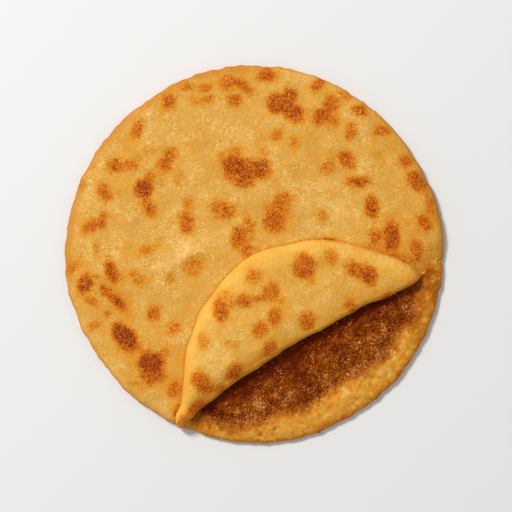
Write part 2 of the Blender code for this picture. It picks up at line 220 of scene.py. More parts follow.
# Mesh resolution
SHEET_ROWS = 166
SHEET_COLUMNS = 178
COLUMN_EASE = 0.5  # how far the columns close up towards the ends of a chord
ROLL_ROWS = 24
FLAP_ROWS = 88
FLAP_FIRST_TURN = 0.004  # its rows past the first lie at sines, from this many radians to a quarter turn
EXPOSED_ARC = (math.radians(-124), math.radians(8))  # directions in which the ring and the filling show
EXPOSED_STEPS = 300
HIDDEN_STEPS = 180
FLOOR_SHARES = (0, 0.4, 0.76, 0.8, 0.84, 0.88, 0.92, 0.96)  # of the way to the filling's edge
RING_ROWS = 46
FOOT_ROWS = 8
UNDERSIDE_ROWS = 56
FILLING_HIDDEN_SHARES = (0, 0.25)  # of the way to its edge, under the flap
FILLING_SHOWN_SHARES = (0.5, 0.93)  # where its rows lie close, and where its edge is rounded off
FILLING_SHOWN_ROWS = 66
FILLING_EDGE_ROWS = 12
FILLING_BELOW_SHARE = 0.75
FILLING_BELOW_ROWS = 20
MERGE_DISTANCE = 0.002 * MM

# Scorch spots: x, y, half length and half width in mm, turn of the long axis in degrees, depth
TOP_SPOTS = (
    (-40.7, 73.2, 3.6, 3.0, 90, 0.72), (-41.0, 69.4, 2.2, 1.2, 20, 0.35), (-55.8, 59.8, 4.8, 2.6, 75, 0.55),
    (-66.3, 42.6, 3.6, 3.2, 0, 0.62), (-60.3, 42.3, 4.6, 3.0, 10, 0.50), (-57.0, 46.0, 3.6, 1.8, 20, 0.25),
    (-40.5, 47.6, 3.6, 3.2, 0, 0.55), (-42.8, 43.0, 3.8, 3.4, 60, 0.65), (-43.0, 38.6, 3.4, 1.6, 10, 0.28),
    (-50.0, 49.3, 2.6, 1.8, 0, 0.25), (-36.3, 36.8, 3.4, 2.2, 90, 0.30), (-53.0, 31.3, 4.9, 4.0, 45, 0.86),
    (-50.0, 37.0, 2.6, 2.2, 45, 0.55), (-51.8, 26.0, 3.0, 2.4, 100, 0.50), (-49.6, 21.3, 3.4, 2.8, 110, 0.50),
    (-72.0, 30.0, 4.8, 2.8, 120, 0.48), (-32.2, 79.8, 3.5, 1.9, 0, 0.52), (-82.3, 33.0, 2.0, 1.5, 60, 0.40),
    (5.5, 85.5, 4.4, 2.8, 0, 0.68), (-12.5, 82.3, 4.0, 3.2, 20, 0.55), (-6.8, 81.5, 4.2, 1.9, 150, 0.50),
    (-2.8, 78.6, 2.6, 1.8, 150, 0.48), (-13.8, 79.5, 2.4, 1.6, 0, 0.45), (-9.6, 73.8, 3.0, 3.0, 90, 0.60),
    (-23.6, 79.3, 3.0, 2.0, 0, 0.45), (-21.5, 74.0, 3.4, 1.9, 0, 0.38), (-27.0, 73.2, 3.4, 2.4, 0, 0.28),
    (10.3, 72.0, 4.8, 4.3, 90, 0.74), (16.5, 75.3, 4.2, 3.8, 60, 0.70), (19.0, 67.4, 4.5, 4.0, 150, 0.76),
    (15.0, 70.5, 3.8, 3.4, 0, 0.66), (20.0, 63.8, 3.6, 2.2, 0, 0.30), (30.5, 81.0, 4.2, 2.6, 50, 0.62),
    (10.8, 57.6, 3.6, 2.3, 45, 0.36), (19.4, 53.4, 2.6, 2.2, 0, 0.28), (-9.6, 42.4, 5.2, 4.8, 0, 0.70),
    (-3.5, 41.0, 6.2, 5.0, 0, 0.74), (3.2, 41.0, 4.6, 4.4, 90, 0.70), (-11.5, 37.6, 4.0, 2.6, 140, 0.50),
    (-13.5, 47.5, 3.6, 2.6, 30, 0.28), (-8.4, 48.6, 2.4, 1.8, 90, 0.45), (3.6, 48.3, 2.8, 2.2, 0, 0.26),
    (-4.8, 35.0, 5.2, 3.4, 10, 0.66), (3.0, 37.0, 3.0, 1.8, 0, 0.45), (37.0, 71.6, 4.2, 3.8, 90, 0.52),
    (32.2, 65.6, 4.4, 3.4, 30, 0.72), (37.3, 63.6, 3.2, 3.0, 0, 0.48), (50.6, 68.6, 3.8, 2.6, 160, 0.72),
    (46.2, 59.0, 4.2, 2.6, 80, 0.46), (60.6, 58.9, 4.2, 2.9, 10, 0.52), (44.4, 44.8, 4.4, 3.2, 125, 0.66),
    (35.0, 41.3, 3.8, 2.8, 30, 0.42), (37.6, 47.3, 2.4, 1.8, 60, 0.20), (59.0, 47.6, 2.6, 2.0, 0, 0.25),
    (49.8, 34.4, 5.4, 2.8, 5, 0.66), (72.2, 44.6, 3.2, 2.8, 120, 0.58), (77.4, 35.0, 5.6, 3.2, 125, 0.62),
    (-31.8, 24.0, 3.4, 2.7, 90, 0.42), (-32.3, 15.0, 5.4, 3.4, 95, 0.62), (-78.4, 13.2, 4.2, 3.2, 40, 0.50),
    (-72.8, 15.8, 4.0, 2.4, 70, 0.55), (-75.4, 3.0, 2.4, 1.6, 80, 0.40), (-51.8, 1.7, 3.6, 2.8, 20, 0.42),
    (-46.8, 4.2, 4.6, 1.7, 40, 0.25), (-28.6, -5.3, 5.2, 4.6, 70, 0.38), (-68.2, -8.0, 5.3, 2.7, 105, 0.76),
    (-87.0, -6.6, 2.0, 1.7, 60, 0.45), (-76.0, -10.5, 0.7, 0.6, 0, 0.70), (-81.2, -14.3, 4.6, 3.4, 60, 0.80),
    (-78.2, -22.2, 3.2, 1.8, 150, 0.52), (-71.3, -17.6, 3.0, 1.9, 140, 0.60),
    (-66.2, -22.4, 5.2, 1.9, 135, 0.58), (-70.1, -28.5, 1.8, 1.6, 90, 0.45),
    (-58.0, -9.4, 2.0, 1.7, 0, 0.42), (-55.2, -12.5, 2.8, 2.3, 0, 0.38), (-40.3, -11.2, 2.5, 2.4, 90, 0.45),
    (-48.1, -28.2, 3.9, 3.2, 90, 0.60), (-76.5, -34.3, 3.4, 2.0, 30, 0.42),
    (-38.7, -35.0, 2.8, 2.6, 45, 0.52), (13.0, 24.6, 5.2, 4.2, 60, 0.52), (9.8, 15.3, 5.0, 4.8, 45, 0.58),
    (8.6, 21.4, 3.8, 3.2, 0, 0.42), (15.8, 19.0, 3.4, 2.6, 60, 0.26), (4.6, 17.2, 3.0, 2.0, 90, 0.22),
    (-16.6, 22.6, 3.8, 3.0, 0, 0.60), (-12.8, 20.0, 3.7, 3.6, 0, 0.56), (-17.0, 18.0, 2.8, 1.8, 0, 0.35),
    (-3.8, 16.6, 3.3, 2.2, 90, 0.38), (-2.5, 12.5, 3.2, 2.6, 60, 0.36), (-7.6, 8.3, 5.4, 3.3, 80, 0.70),
    (-3.2, 3.2, 3.0, 2.2, 160, 0.58), (-3.0, 7.6, 3.2, 2.6, 90, 0.36), (32.6, 18.0, 3.0, 2.6, 90, 0.38),
    (56.4, 22.6, 5.6, 3.4, 100, 0.68), (58.2, 8.0, 3.8, 2.7, 90, 0.56), (65.5, 8.6, 6.6, 3.6, 85, 0.76),
    (81.4, 14.6, 3.7, 2.8, 130, 0.55), (77.7, 2.0, 5.0, 2.7, 100, 0.55), (60.0, 3.0, 7.0, 1.6, 170, 0.38),
    (71.0, -1.6, 6.0, 1.6, 155, 0.40), (83.5, 24.0, 5.0, 2.0, 100, 0.35), (-62.3, -39.0, 6.8, 4.4, 135, 0.90),
    (-57.5, -43.5, 3.6, 2.6, 135, 0.66), (-61.0, -44.6, 4.0, 2.2, 150, 0.50),
    (-49.4, -51.6, 6.0, 4.8, 10, 0.92), (-48.6, -58.2, 5.8, 4.2, 20, 0.50),
    (-43.5, -48.0, 3.4, 2.6, 60, 0.28), (-38.2, -64.6, 4.4, 3.0, 80, 0.44),
    (-37.0, -74.0, 4.5, 1.6, 75, 0.42), (-57.5, -62.0, 3.0, 1.6, 150, 0.22),
    (65.0, 52.5, 5.0, 3.0, 140, 0.12), (-4.5, 1.0, 2.6, 1.6, 140, 0.60), (35.8, 7.4, 2.8, 0.6, 0, 0.60),
    (-45.0, 34.0, 3.0, 2.0, 0, 0.28), (43.0, 75.6, 3.4, 2.2, 150, 0.35), (-38.0, 76.0, 3.0, 2.0, 0, 0.30),
    (81.2, 32.4, 2.8, 2.0, 120, 0.36), (-63.2, -11.4, 2.6, 2.0, 60, 0.30), (1.0, 2.4, 2.4, 1.2, 165, 0.32),
)
FLAP_SPOTS = (
    (23.6, -5.6, 5.8, 5.4, 100, 0.66), (26.3, -12.0, 2.6, 1.8, 60, 0.42), (-0.4, -10.6, 3.9, 3.1, 30, 0.42),
    (-2.0, -7.0, 3.2, 2.6, 45, 0.14), (8.0, -18.0, 4.8, 3.7, 90, 0.40), (-5.0, -22.2, 3.8, 2.8, 10, 0.52),
    (1.5, -20.6, 4.6, 1.8, 5, 0.40), (-15.6, -26.6, 5.2, 3.7, 100, 0.58), (-14.0, -20.0, 4.0, 3.0, 0, 0.26),
    (9.6, -29.8, 4.4, 3.0, 90, 0.50), (25.2, -31.5, 4.4, 3.5, 80, 0.62), (36.0, -1.6, 3.7, 2.9, 100, 0.42),
    (31.0, -4.0, 4.0, 3.0, 0, 0.22), (2.8, -36.0, 3.9, 3.5, 45, 0.52), (48.3, -7.6, 4.2, 3.1, 135, 0.58),
    (54.3, -10.0, 4.7, 3.9, 100, 0.72), (44.0, -5.4, 1.1, 0.9, 0, 0.80), (45.2, -24.0, 3.4, 2.1, 130, 0.38),
    (62.5, -20.0, 3.5, 1.2, 10, 0.40), (-24.2, -41.0, 4.2, 2.9, 100, 0.38), (-10.6, -42.6, 3.4, 2.4, 0, 0.28),
    (7.4, -43.5, 3.3, 2.9, 90, 0.42), (6.8, -47.0, 2.6, 1.4, 0, 0.35), (-9.4, -55.4, 4.3, 3.3, 60, 0.58),
    (-24.6, -60.8, 5.4, 4.2, 140, 0.58), (-28.3, -73.0, 4.7, 2.4, 40, 0.34),
    (12.5, -22.0, 2.2, 1.6, 30, 0.25), (-16.5, -64.0, 3.0, 2.0, 30, 0.35),
    (-10.5, -23.4, 3.0, 1.8, 10, 0.35), (-34.0, -78.8, 3.4, 2.4, 60, 0.24),
)

# Broad patches, most of them evenly baked: x, y and radius in mm, depth
TOP_PATCHES = (
    # painted highlight: (-42, -6) and (-31, 1) on the crease
    # painted shade: (-33, -29) beside the flap's border, and (-86, -4) and (-7, 87) on the rim
    (-66, -18, 17, 0.05), (-44, -56, 14, 0.06), (80, 12, 17, 0.12), (85, -6, 6, 0.28), (76, 36, 14, 0.08),
    (12, 20, 13, 0.05), (-76, 14, 10, 0.02), (30, 62, 14, 0.06), (-20, 78, 12, 0.05), (60, 5, 12, 0.03),
    (-34, 0, 9, -0.07), (35, 13, 12, -0.06), (-62, -27, 6, 0.10), (-74, -46, 4, 0.12), (-67.5, 30, 4, 0.12),
    (-2, 62, 10, 0.03), (-25, 40, 10, 0.03), (-16, -2, 6, 0.12), (-50, -57, 10, 0.12), (-61, -45, 7, 0.12),
    (-86, -4, 5, 0.20), (66, 20, 6, 0.05), (-7, 87, 4, 0.20), (-42, -6, 5, -0.12), (-31, 1, 4, -0.14),
    (-33, -29, 4, 0.10), (85, 18, 5, 0.10), (76, -3, 5, 0.08),
)
FLAP_PATCHES = (
    (3, -20, 17, 0.07), (-18, -50, 9, -0.03), (52, -14, 15, 0.04), (-26, -70, 12, 0.12), (18, -32, 14, -0.04),
    (87, -5, 6, 0.28), (76, -12, 5, 0.15),
)

# The same for the filling, lighter where the last number is above 0, and for stains on the ring
FILLING_PATCHES = (
    (-10, -70, 6, 0.15), (0, -73, 5, 0.6), (16, -69, 5, 0.35), (21, -55, 6, -0.34), (-3, -66, 4, -0.2),
    (-5, -79, 4, 0.25), (14, -59, 4, -0.1), (40, -54, 5, 0.15), (51.5, -50.6, 4, 0.3), (-16, -73, 4, 0.12),
    (29, -65, 4, -0.15), (60, -29, 5, -0.2), (8, -67, 3, -0.12), (62, -38, 4.5, 0.25), (59, -45, 4, 0.3),
    (-30, -74, 4, 0.2), (19, -63.5, 3.5, 0.3), (37.5, -58.5, 4, 0.32), (45.5, -48, 3.5, -0.2),
    (71, -26, 4, -0.2), (-9, -76, 3.5, -0.15), (60.5, -33, 4, -0.15), (33.5, -51, 3.5, -0.15),
)
RING_STAINS_AND_SHADE = (
    # those at (85, -16) and (84.5, -12), below the flap's tip, are partly painted shade of it
    (85, -16, 8, 0.38), (84, -8, 4, 0.34), (60, -51.5, 4, 0.28), (80, -33, 7, 0.22), (87, -27, 5, 0.14),
    (66, -44, 6, 0.08), (52.5, -58.5, 3.5, 0.3), (21.5, -73.5, 3.5, 0.25), (77, -38.5, 4, 0.2),
    (62, -61, 6, -0.26), (8, -84, 4, 0.10), (-10, -84, 6, 0.20), (-24, -83, 7, 0.24), (3, -87, 1.4, 0.3),
    (-5.5, -83, 1.4, 0.35), (10.5, -84, 1.3, 0.3), (46, -61.5, 4, -0.15), (84.5, -12, 3.5, 0.15),
)

# Seeds of the noise and of the random draws
SEED_OUTLINE, SEED_RING, SEED_UNDERSIDE = 3, 11, 23
SEED_FILLING_EDGE, SEED_LUMPS, SEED_SHEET, SEED_FLAP = 31, 37, 43, 53
SEED_WARP_X, SEED_WARP_Y = 61, 67
SEED_UNDERSIDE_SPOTS, SEED_GRAINS, SEED_FOLD = 79, 83, 89


def paint(red, green, blue):
    """A colour given as 8-bit sRGB, in the linear values that Blender stores."""
    shares = (red / 255, green / 255, blue / 255)
    return tuple(s / 12.92 if s <= 0.04045 else ((s + 0.055) / 1.055) ** 2.4 for s in shares)


# ---------------------------------------------------------------- properties


def length(name, description, default):
    return FloatProperty(
        name=name, description=description, default=default, precision=5, unit="LENGTH", subtype="DISTANCE"
    )


def turn(name, description, degrees):
    return FloatProperty(
        name=name, description=description, default=math.radians(degrees), unit="ROTATION", subtype="ANGLE"
    )


def colour(name, description, default):
    return FloatVectorProperty(
        name=name, description=description, default=paint(*default), min=0, max=1, size=3, subtype="COLOR"
    )


class BreadSizes(bpy.types.PropertyGroup):
    """Driving sizes of the bread"""

    upper_radius: length("Upper radius", "Radius of the top layer of dough", 90.7 * MM)
    lower_radius: length("Lower radius", "Radius of the bottom layer of dough", 90.6 * MM)
    floor_top: length("Floor", "Thickness of the bottom layer under the filling", 2.4 * MM)
    rim_crest: length("Rim", "Height of the bottom layer's rim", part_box("lower_layer")[1].z)
    foot_inset: length("Foot inset", "How far the outline stands out past the flat underside", 5 * MM)
    filling_bottom: length("Filling bottom", "Height of the filling's underside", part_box("filling")[0].z)
    filling_top: length("Filling top", "Height of the filling's top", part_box("filling")[1].z)
    sheet: length("Top dough", "Thickness of the top layer of dough", 2.2 * MM)
    sheet_edge: length("Top border", "Width over which the top layer thins out at its border", 4.5 * MM)
    ridge: length("Crease", "Height of the raised crease beside the flap", 0.8 * MM)
    fold_turn: turn("Fold direction", "Direction of the fold's chord", 32)
    fold_offset: length("Fold offset", "From the bread's middle to the fold's chord", 50.3 * MM)
    roll_middle: length("Roll", "Radius of the fold's roll in its middle", 1.7 * MM)
    roll_end: length("Roll end", "Radius of the fold's roll at its left end", 1.2 * MM)
    dome: length("Flap bulge", "How far the flap bulges up between the fold and its border", 3.4 * MM)
    flap_reach: length("Flap reach", "From the fold to the flap's peak", 50.4 * MM)
    flap_peak: length("Flap peak", "Where along the chord the flap reaches furthest", -3.7 * MM)
    flap_right: length("Flap right end", "Where along the chord the flap ends", 63.2 * MM)
    flap_puff: length("Flap puff", "How much thicker the flap's left end is", 0.9 * MM)
    grain: length("Sugar grain", "Usual size of a loose sugar grain", 0.58 * MM)
    grains: IntProperty(name="Grains", description="Loose grains on the filling", default=7000, min=0)


class BreadColours(bpy.types.PropertyGroup):
    """Colours of the dough and the filling"""

    pale: colour("Pale dough", "Lightest specks of the dough", (252, 206, 122))
    # painted highlight: lit dough colour laid over the flap, strongest at its border
    bright: colour("Bright dough", "Dough that is lighter where it is folded back", (255, 196, 82))
    dough: colour("Dough", "Plain cooked dough", (224, 165, 72))
    golden: colour("Golden dough", "Lightly browned dough", (222, 150, 44))
    orange: colour("Orange edge", "Thin edge round each scorch spot", (215, 129, 32))
    toasted: colour("Toasted spot", "Outer part of a scorch spot", (207, 109, 12))
    brown: colour("Brown spot", "Middle of a scorch spot", (192, 88, 7))
    scorched: colour("Scorched spot", "Deepest part of a scorch spot", (170, 71, 5))
    burnt: colour("Burnt speck", "Darkest specks of a scorch spot", (138, 50, 4))
    dull: colour("Dull dough", "Patches where the dough is dry and dull", (206, 158, 82))
    stain: colour("Stain", "Dough soaked with melted sugar", (176, 100, 16))
    syrup: colour("Syrup", "Dough lightly soaked with melted sugar", (206, 124, 28))
    crevice: colour("Filling crevice", "Filling between its lumps", (94, 27, 0))
    filling: colour("Filling", "Moist brown sugar", (146, 64, 6))
    caramel: colour("Filling lump", "Lighter lumps of the filling", (184, 98, 14))
    # the lightest grains are partly the crystals' own colour and partly painted glints
    grain: colour("Grain", "Lightest sugar grains", (218, 150, 86))


class StudioSettings(bpy.types.PropertyGroup):
    """Camera, light and floor"""

    lens: FloatProperty(name="Lens", description="Focal length in millimetres", default=85, unit="CAMERA")
    distance: length("Distance", "From the bread's top to the camera", 578 * MM)
    aim_x: length("Aim x", "Where the camera looks, to the right", 0.81 * MM)
    aim_y: length("Aim y", "Where the camera looks, away from the viewer", -0.91 * MM)
    aim_z: length("Aim height", "Height of the plane that the framing is set for", 7 * MM)
    light_turn: turn("Light direction", "Direction from which the key light comes", 135)
    light_rise: turn("Light height", "Angle of the key light over the floor", 47)
    light_distance: length("Light distance", "From the bread to the key light", 2.0)
    light_size: length("Light size", "Side of the key light's square", 0.42)
    light_power: FloatProperty(name="Light power", description="Key light's power", default=32, unit="POWER")
    sky: FloatProperty(name="Fill", description="Strength of the even light all round", default=0.42, min=0)
    floor_side: length("Floor side", "Side of the square floor", 6.0)
    floor: colour("Floor", "Colour of the floor", (236, 235, 233))


# ---------------------------------------------------------------- formulas


def smooth(share):
    """Smoothstep: 0 up to 0, 1 from 1 on, and 3t^2 - 2t^3 between them."""
    share = np.clip(share, 0, 1)
    return share**2 * (3 - 2 * share)


def step(value, low, high):
    """Smoothstep from 0 at a low value to 1 at a high one."""
    return smooth((value - low) / (high - low))


def parabola(share):
    """0 at 0, rising ever more slowly to 1 at 1: 1 - (1 - t)^2."""
    return 1 - (1 - np.clip(share, 0, 1)) ** 2


def round_off(share):
    """Quarter ellipse: 0 at 0, rising steeply and then levelling out at 1. It is a parabola's root."""
    return np.sqrt(parabola(share))


def noise(x, y, cell, seed):
    """Gradient noise, from about -1 to 1, over square cells.

    Each corner of the lattice has a random direction. Its value at a point is the dot product of that
    direction with the way from the corner to the point, and 6t^5 - 15t^4 + 10t^3 blends the four corners.
    The lattice is turned by its seed in radians, so that layers of noise don't line up.
    """
    table = 128
    u = (x * math.cos(seed) - y * math.sin(seed)) / cell + seed
    v = (x * math.sin(seed) + y * math.cos(seed)) / cell - seed
    directions = np.random.default_rng(seed).uniform(0, TURN, (table, table))
    column, row = np.floor(u).astype(int), np.floor(v).astype(int)
    u, v = u - column, v - row

    def corner(right, up):
        direction = directions[(column + right) % table, (row + up) % table]
        return (u - right) * np.cos(direction) + (v - up) * np.sin(direction)

    blend_u, blend_v = (t**3 * (t * (6 * t - 15) + 10) for t in (u, v))
    low = corner(0, 0) + (corner(1, 0) - corner(0, 0)) * blend_u
    high = corner(0, 1) + (corner(1, 1) - corner(0, 1)) * blend_u
    return 1.5 * (low + (high - low) * blend_v)


def noise_sum(x, y, octaves, seed):
    """Sum of noise over (cell, height) pairs, each with a seed of its own."""
    return sum(height * noise(x, y, cell, seed + octave) for octave, (cell, height) in enumerate(octaves))


def lump_sum(x, y, octaves, seed):
    """Sum of |noise| over (cell, height) pairs: round tops with sharp crevices between them."""
    return sum(
        height * np.abs(noise(x, y, cell, seed + octave)) for octave, (cell, height) in enumerate(octaves)
    )


def bulges(value, rows):
    """Sum of bell curves over (middle, width, height) rows."""
    return sum(height * np.exp(-(((value - middle) / width) ** 2)) for middle, width, height in rows)


def turn_from(angle, direction):
    """The way from a direction to an angle, between minus half a turn and half a turn."""
    return (angle - direction + math.pi) % TURN - math.pi


def outline(angle, radius):
    """Radius towards an angle: the round's own radius, a cosine for each lobe, a notch, and noise."""
    lobes = sum(height * np.cos(count * (angle - direction)) for count, height, direction in OUTLINE_LOBES)
    notch = bulges(turn_from(angle, NOTCH_DIRECTION), ((0, NOTCH_WIDTH, NOTCH_DEPTH),))
    uneven = noise_sum(radius * np.cos(angle), radius * np.sin(angle), OUTLINE_NOISE, SEED_OUTLINE)
    return radius + lobes - notch + uneven


def upper_outline(sizes, angle):
    """Radius of the top layer's border."""
    return outline(angle, sizes.upper_radius)


def lower_outline(sizes, angle):
    """Radius of the bottom layer's border: the outline, bulging out where the rim is uncovered."""
    spread = bulges(turn_from(angle, SPREAD_DIRECTION), ((0, SPREAD_WIDTH, SPREAD),))
    return outline(angle, sizes.lower_radius) + spread


def filling_reach(angle):
    """Radius of the filling's edge: its stations joined by smoothsteps, once round the bread."""
    turns = np.array([station for station, _ in FILLING_EDGE])
    reach = np.array([radius for _, radius in FILLING_EDGE])
    turns = np.append(turns, turns[0] + TURN)
    reach = np.append(reach, reach[0])
    angle = turns[0] + (angle - turns[0]) % TURN
    before = np.clip(np.searchsorted(turns, angle, side="right") - 1, 0, len(turns) - 2)
    part = (angle - turns[before]) / (turns[before + 1] - turns[before])
    return reach[before] + (reach[before + 1] - reach[before]) * smooth(part)


def rim_share(sizes, x, y, border):
    """0 at the filling's edge and 1 at a layer's border, straight along each radius."""
    angle = np.arctan2(y, x)
    inner = filling_reach(angle)
    return (np.hypot(x, y) - inner) / (border(sizes, angle) - inner)


def rim_fall(part):
    """Height of the rim's outer side: 1 up to its crest, then a quarter ellipse down to 0."""
    return round_off((1 - part) / (1 - RIM_CREST_SHARE))


def place(sizes, along, across):
    """World x and y of a point given along the fold's chord and square to it."""
    cos, sin = math.cos(sizes.fold_turn), math.sin(sizes.fold_turn)
    return along * cos - across * sin, along * sin + across * cos


def past_fold(sizes, x, y):
    """How far a point lies past the fold's chord, on the side where the filling shows."""
    return x * math.sin(sizes.fold_turn) - y * math.cos(sizes.fold_turn) - sizes.fold_offset


def lower_top(sizes, x, y):
    """Top of the bottom layer: a flat floor, a smooth rise to the crest, the rim's fall, lumps and pits.

    Lumps and pits are only where the ring shows, past the fold, and fade out towards the outline.
    """
    part = rim_share(sizes, x, y, lower_outline)
    rise = step(part, RIM_START_SHARE, RIM_CREST_SHARE)
    inner = sizes.floor_top + (sizes.rim_crest - sizes.floor_top) * rise
    outer = LOWER_EDGE_HEIGHT + (sizes.rim_crest - LOWER_EDGE_HEIGHT) * rim_fall(part)
    height = np.where(part < RIM_CREST_SHARE, inner, outer)
    lumps = noise_sum(x, y, RING_NOISE, SEED_RING)
    for pit_x, pit_y, radius in RING_PITS:
        lumps = lumps - PIT_DEPTH * np.exp(-((x - pit_x) ** 2 + (y - pit_y) ** 2) / radius**2)
    shown = smooth(past_fold(sizes, x, y) / RING_FOLD_FADE + 1) * smooth((1 - part) / RING_BORDER_FADE)
    return height + lumps * shown


def filling_outline(angle):
    """Radius of the filling as modelled here: its edge, part of the way up the ring, with noise."""
    reach = filling_reach(angle) + FILLING_OVERLAP
    x, y = reach * np.cos(angle), reach * np.sin(angle)
    return reach + noise_sum(x, y, FILLING_EDGE_NOISE, SEED_FILLING_EDGE)


def filling_lumps(x, y):
    """Lumps of the filling about their mean height."""
    return lump_sum(x, y, LUMPS, SEED_LUMPS) - LUMPS_MEAN


def filling_floor(sizes, x, y):
    """Underside of the filling: level, and pressed into the rim where that comes up under it."""
    return np.maximum(sizes.filling_bottom, lower_top(sizes, x, y) - FILLING_SINK)


def filling_surface(sizes, x, y):
    """Top of the filling: level, easing down to the rim at its edge, plus lumps that fade out there."""
    full = smooth((filling_outline(np.arctan2(y, x)) - np.hypot(x, y)) / FILLING_SLOPE)
    bottom = filling_floor(sizes, x, y)
    top = bottom + (sizes.filling_top - bottom) * full + filling_lumps(x, y) * np.sqrt(full)
    return np.maximum(top, bottom)


def sugar_share(x, y, stains=RING_STAINS_AND_SHADE):
    """How much sugar there is: 1 in the filling, fading out on the ring, and deeper in its stains, a few
    partly painted shade.
    """
    outside = np.hypot(x, y) - filling_reach(np.arctan2(y, x))
    return 1 - step(outside, *SOAK_BAND) + warmth(x, y, stains)


def sheet_bottom(sizes, x, y):
    """Underside of the top layer: level with the crest inside, and drooping with the rim outside."""
    part = rim_share(sizes, x, y, upper_outline)
    edge = LOWER_EDGE_HEIGHT - SEAM_SINK
    return edge + (sizes.rim_crest + LAYER_GAP - edge) * rim_fall(part)


def sheet_relief(sizes, x, y):
    """Unevenness of the flat sheet's top: cosine waves, noise, and a crease of lopsided bell section."""
    waves = sum(
        height * np.cos(TURN / wave * (x * math.cos(direction) + y * math.sin(direction)))
        for wave, direction, height in SHEET_WAVES
    )
    run_x, run_y = RIDGE_END[0] - RIDGE_START[0], RIDGE_END[1] - RIDGE_START[1]
    run = math.hypot(run_x, run_y)
    along = ((x - RIDGE_START[0]) * run_x + (y - RIDGE_START[1]) * run_y) / run
    across = ((y - RIDGE_START[1]) * run_x - (x - RIDGE_START[0]) * run_y) / run
    ends = smooth(along / RIDGE_ENDS) * smooth((run - along) / RIDGE_ENDS)
    ridge = sizes.ridge * ends * np.exp(-((across / np.where(across > 0, RIDGE_SLOPE, RIDGE_DROP)) ** 2))
    return waves + ridge + noise_sum(x, y, SHEET_NOISE, SEED_SHEET)


def sheet_top(sizes, x, y):
    """Top of the top layer where it lies flat."""
    from_border = upper_outline(sizes, np.arctan2(y, x)) - np.hypot(x, y)
    relief = sheet_relief(sizes, x, y) * smooth(from_border / (2 * sizes.sheet_edge))
    dough = sizes.sheet * round_off(from_border / sizes.sheet_edge)
    return sheet_bottom(sizes, x, y) + dough + relief


def sealed(column):
    """1 at the fold's right end, where the two layers are still pressed together, and 0 elsewhere."""
    return smooth((column - SEAL_START) / SEAL_WIDTH)


def roll_radius(sizes, column):
    """Radius of the fold's roll: an ellipse from its left end at -1 to its middle at 0.

    Where the layers are sealed it is hardly more than a thin edge.
    """
    rolled = sizes.roll_end + (sizes.roll_middle - sizes.roll_end) * np.sqrt(1 - column**2)
    return rolled + (SEALED_ROLL - rolled) * sealed(column)


def fold_line(sizes, column):
    """Where the flat sheet ends and the roll starts, square to the chord.

    The roll bulges back by its radius and half the dough, so that its outside meets the chord. Sine
    waves, bell curves and noise bow the chord itself. All but the sine waves end at the outline, like
    half an ellipse.
    """
    part = (column + 1) / 2
    bow = sum(height * np.sin((wave + 1) * math.pi * part) for wave, height in enumerate(FOLD_BOW))
    along = column * math.sqrt(sizes.upper_radius**2 - sizes.fold_offset**2)
    uneven = bulges(along, FOLD_BULGES) + noise_sum(along, 0 * along, FOLD_NOISE, SEED_FOLD)
    half_dough = sizes.sheet / 2 * (1 - sealed(column))
    rolled = uneven + roll_radius(sizes, column) + half_dough
    return -sizes.fold_offset + bow + rolled * np.sqrt(1 - column**2)


def fold_end(sizes):
    """Where the fold meets the outline: across from the bread's middle, and along the chord."""
    across = fold_line(sizes, 1.0)
    return across, math.sqrt(sizes.upper_radius**2 - across**2)


def sheet_faces(sizes, along, across):
    """Underside and top of the flat sheet. Towards a sealed fold it thins out and sinks into the ring."""
    x, y = place(sizes, along, across)
    column = np.clip(along / fold_end(sizes)[1], -1, 1)
    sealing = sealed(column) * (1 - smooth((across - fold_line(sizes, column)) / SEAL_SLOPE))
    bottom = sheet_bottom(sizes, x, y)
    thickness = (sheet_top(sizes, x, y) - bottom) * (1 - (1 - SEALED_SHARE) * sealing)
    bottom = bottom - SEAL_DEPTH * sealing
    return bottom, bottom + thickness


def flap_border(sizes, along):
    """Plain reach of the flap over the fold, its reach with the border's bulges, and its slope.

    The plain reach is flap_reach * (1 - t^power), t being the distance from the peak over the length
    of its side.
    """
    is_left = along < sizes.flap_peak
    side = np.where(is_left, sizes.flap_peak + fold_end(sizes)[1], sizes.flap_right - sizes.flap_peak)
    power = np.where(is_left, FLAP_LEFT_POWER, FLAP_RIGHT_POWER)
    from_peak = np.clip(np.abs(along - sizes.flap_peak) / side, 0, 1)
    plain = sizes.flap_reach * (1 - from_peak**power)
    slope = sizes.flap_reach * power / side * from_peak ** (power - 1)
    return plain, plain + bulges(along, FLAP_BULGES), slope


def flap_bulge(sizes, along, from_fold, from_border):
    """How far the flap bulges up: a parabola from the fold's outside times one from its border."""
    fold_side = DOME_FOLD_LEFT + (DOME_FOLD_RIGHT - DOME_FOLD_LEFT) * step(along, *DOME_CHANGE)
    return sizes.dome * parabola(from_fold / fold_side) * parabola(from_border / DOME_BORDER_SIDE)


def browning(x, y, spots):
    """Depth of browning from 0 to 1.

    A spot is an ellipse. Its core and its halo each fade out by a smoothstep across the ellipse's edge.
    Noise shifts the points first, so that edges come out ragged. Spots join as the cube root of the sum
    of their cubes, which fills the narrow gaps between them.
    """
    warped_x = x + noise_sum(x, y, SPOT_WARP, SEED_WARP_X)
    warped_y = y + noise_sum(x, y, SPOT_WARP, SEED_WARP_Y)
    cubes = np.zeros_like(x)
    for spot_x, spot_y, half_length, half_width, degrees, spot_depth in spots:
        cos, sin = math.cos(math.radians(degrees)), math.sin(math.radians(degrees))
        right, up = warped_x - spot_x * MM, warped_y - spot_y * MM
        along, across = right * cos + up * sin, up * cos - right * sin
        distance = np.hypot(along / (half_length * MM), across / (half_width * MM))
        outside = (distance - 1) * math.sqrt(half_length * half_width) * MM
        core, halo = (1 - step(outside, *fade) for fade in (SPOT_CORE_FADE, SPOT_HALO_FADE))
        cubes += (spot_depth * (core + SPOT_HALO_SHARE * (halo - core))) ** 3
    return np.cbrt(cubes)


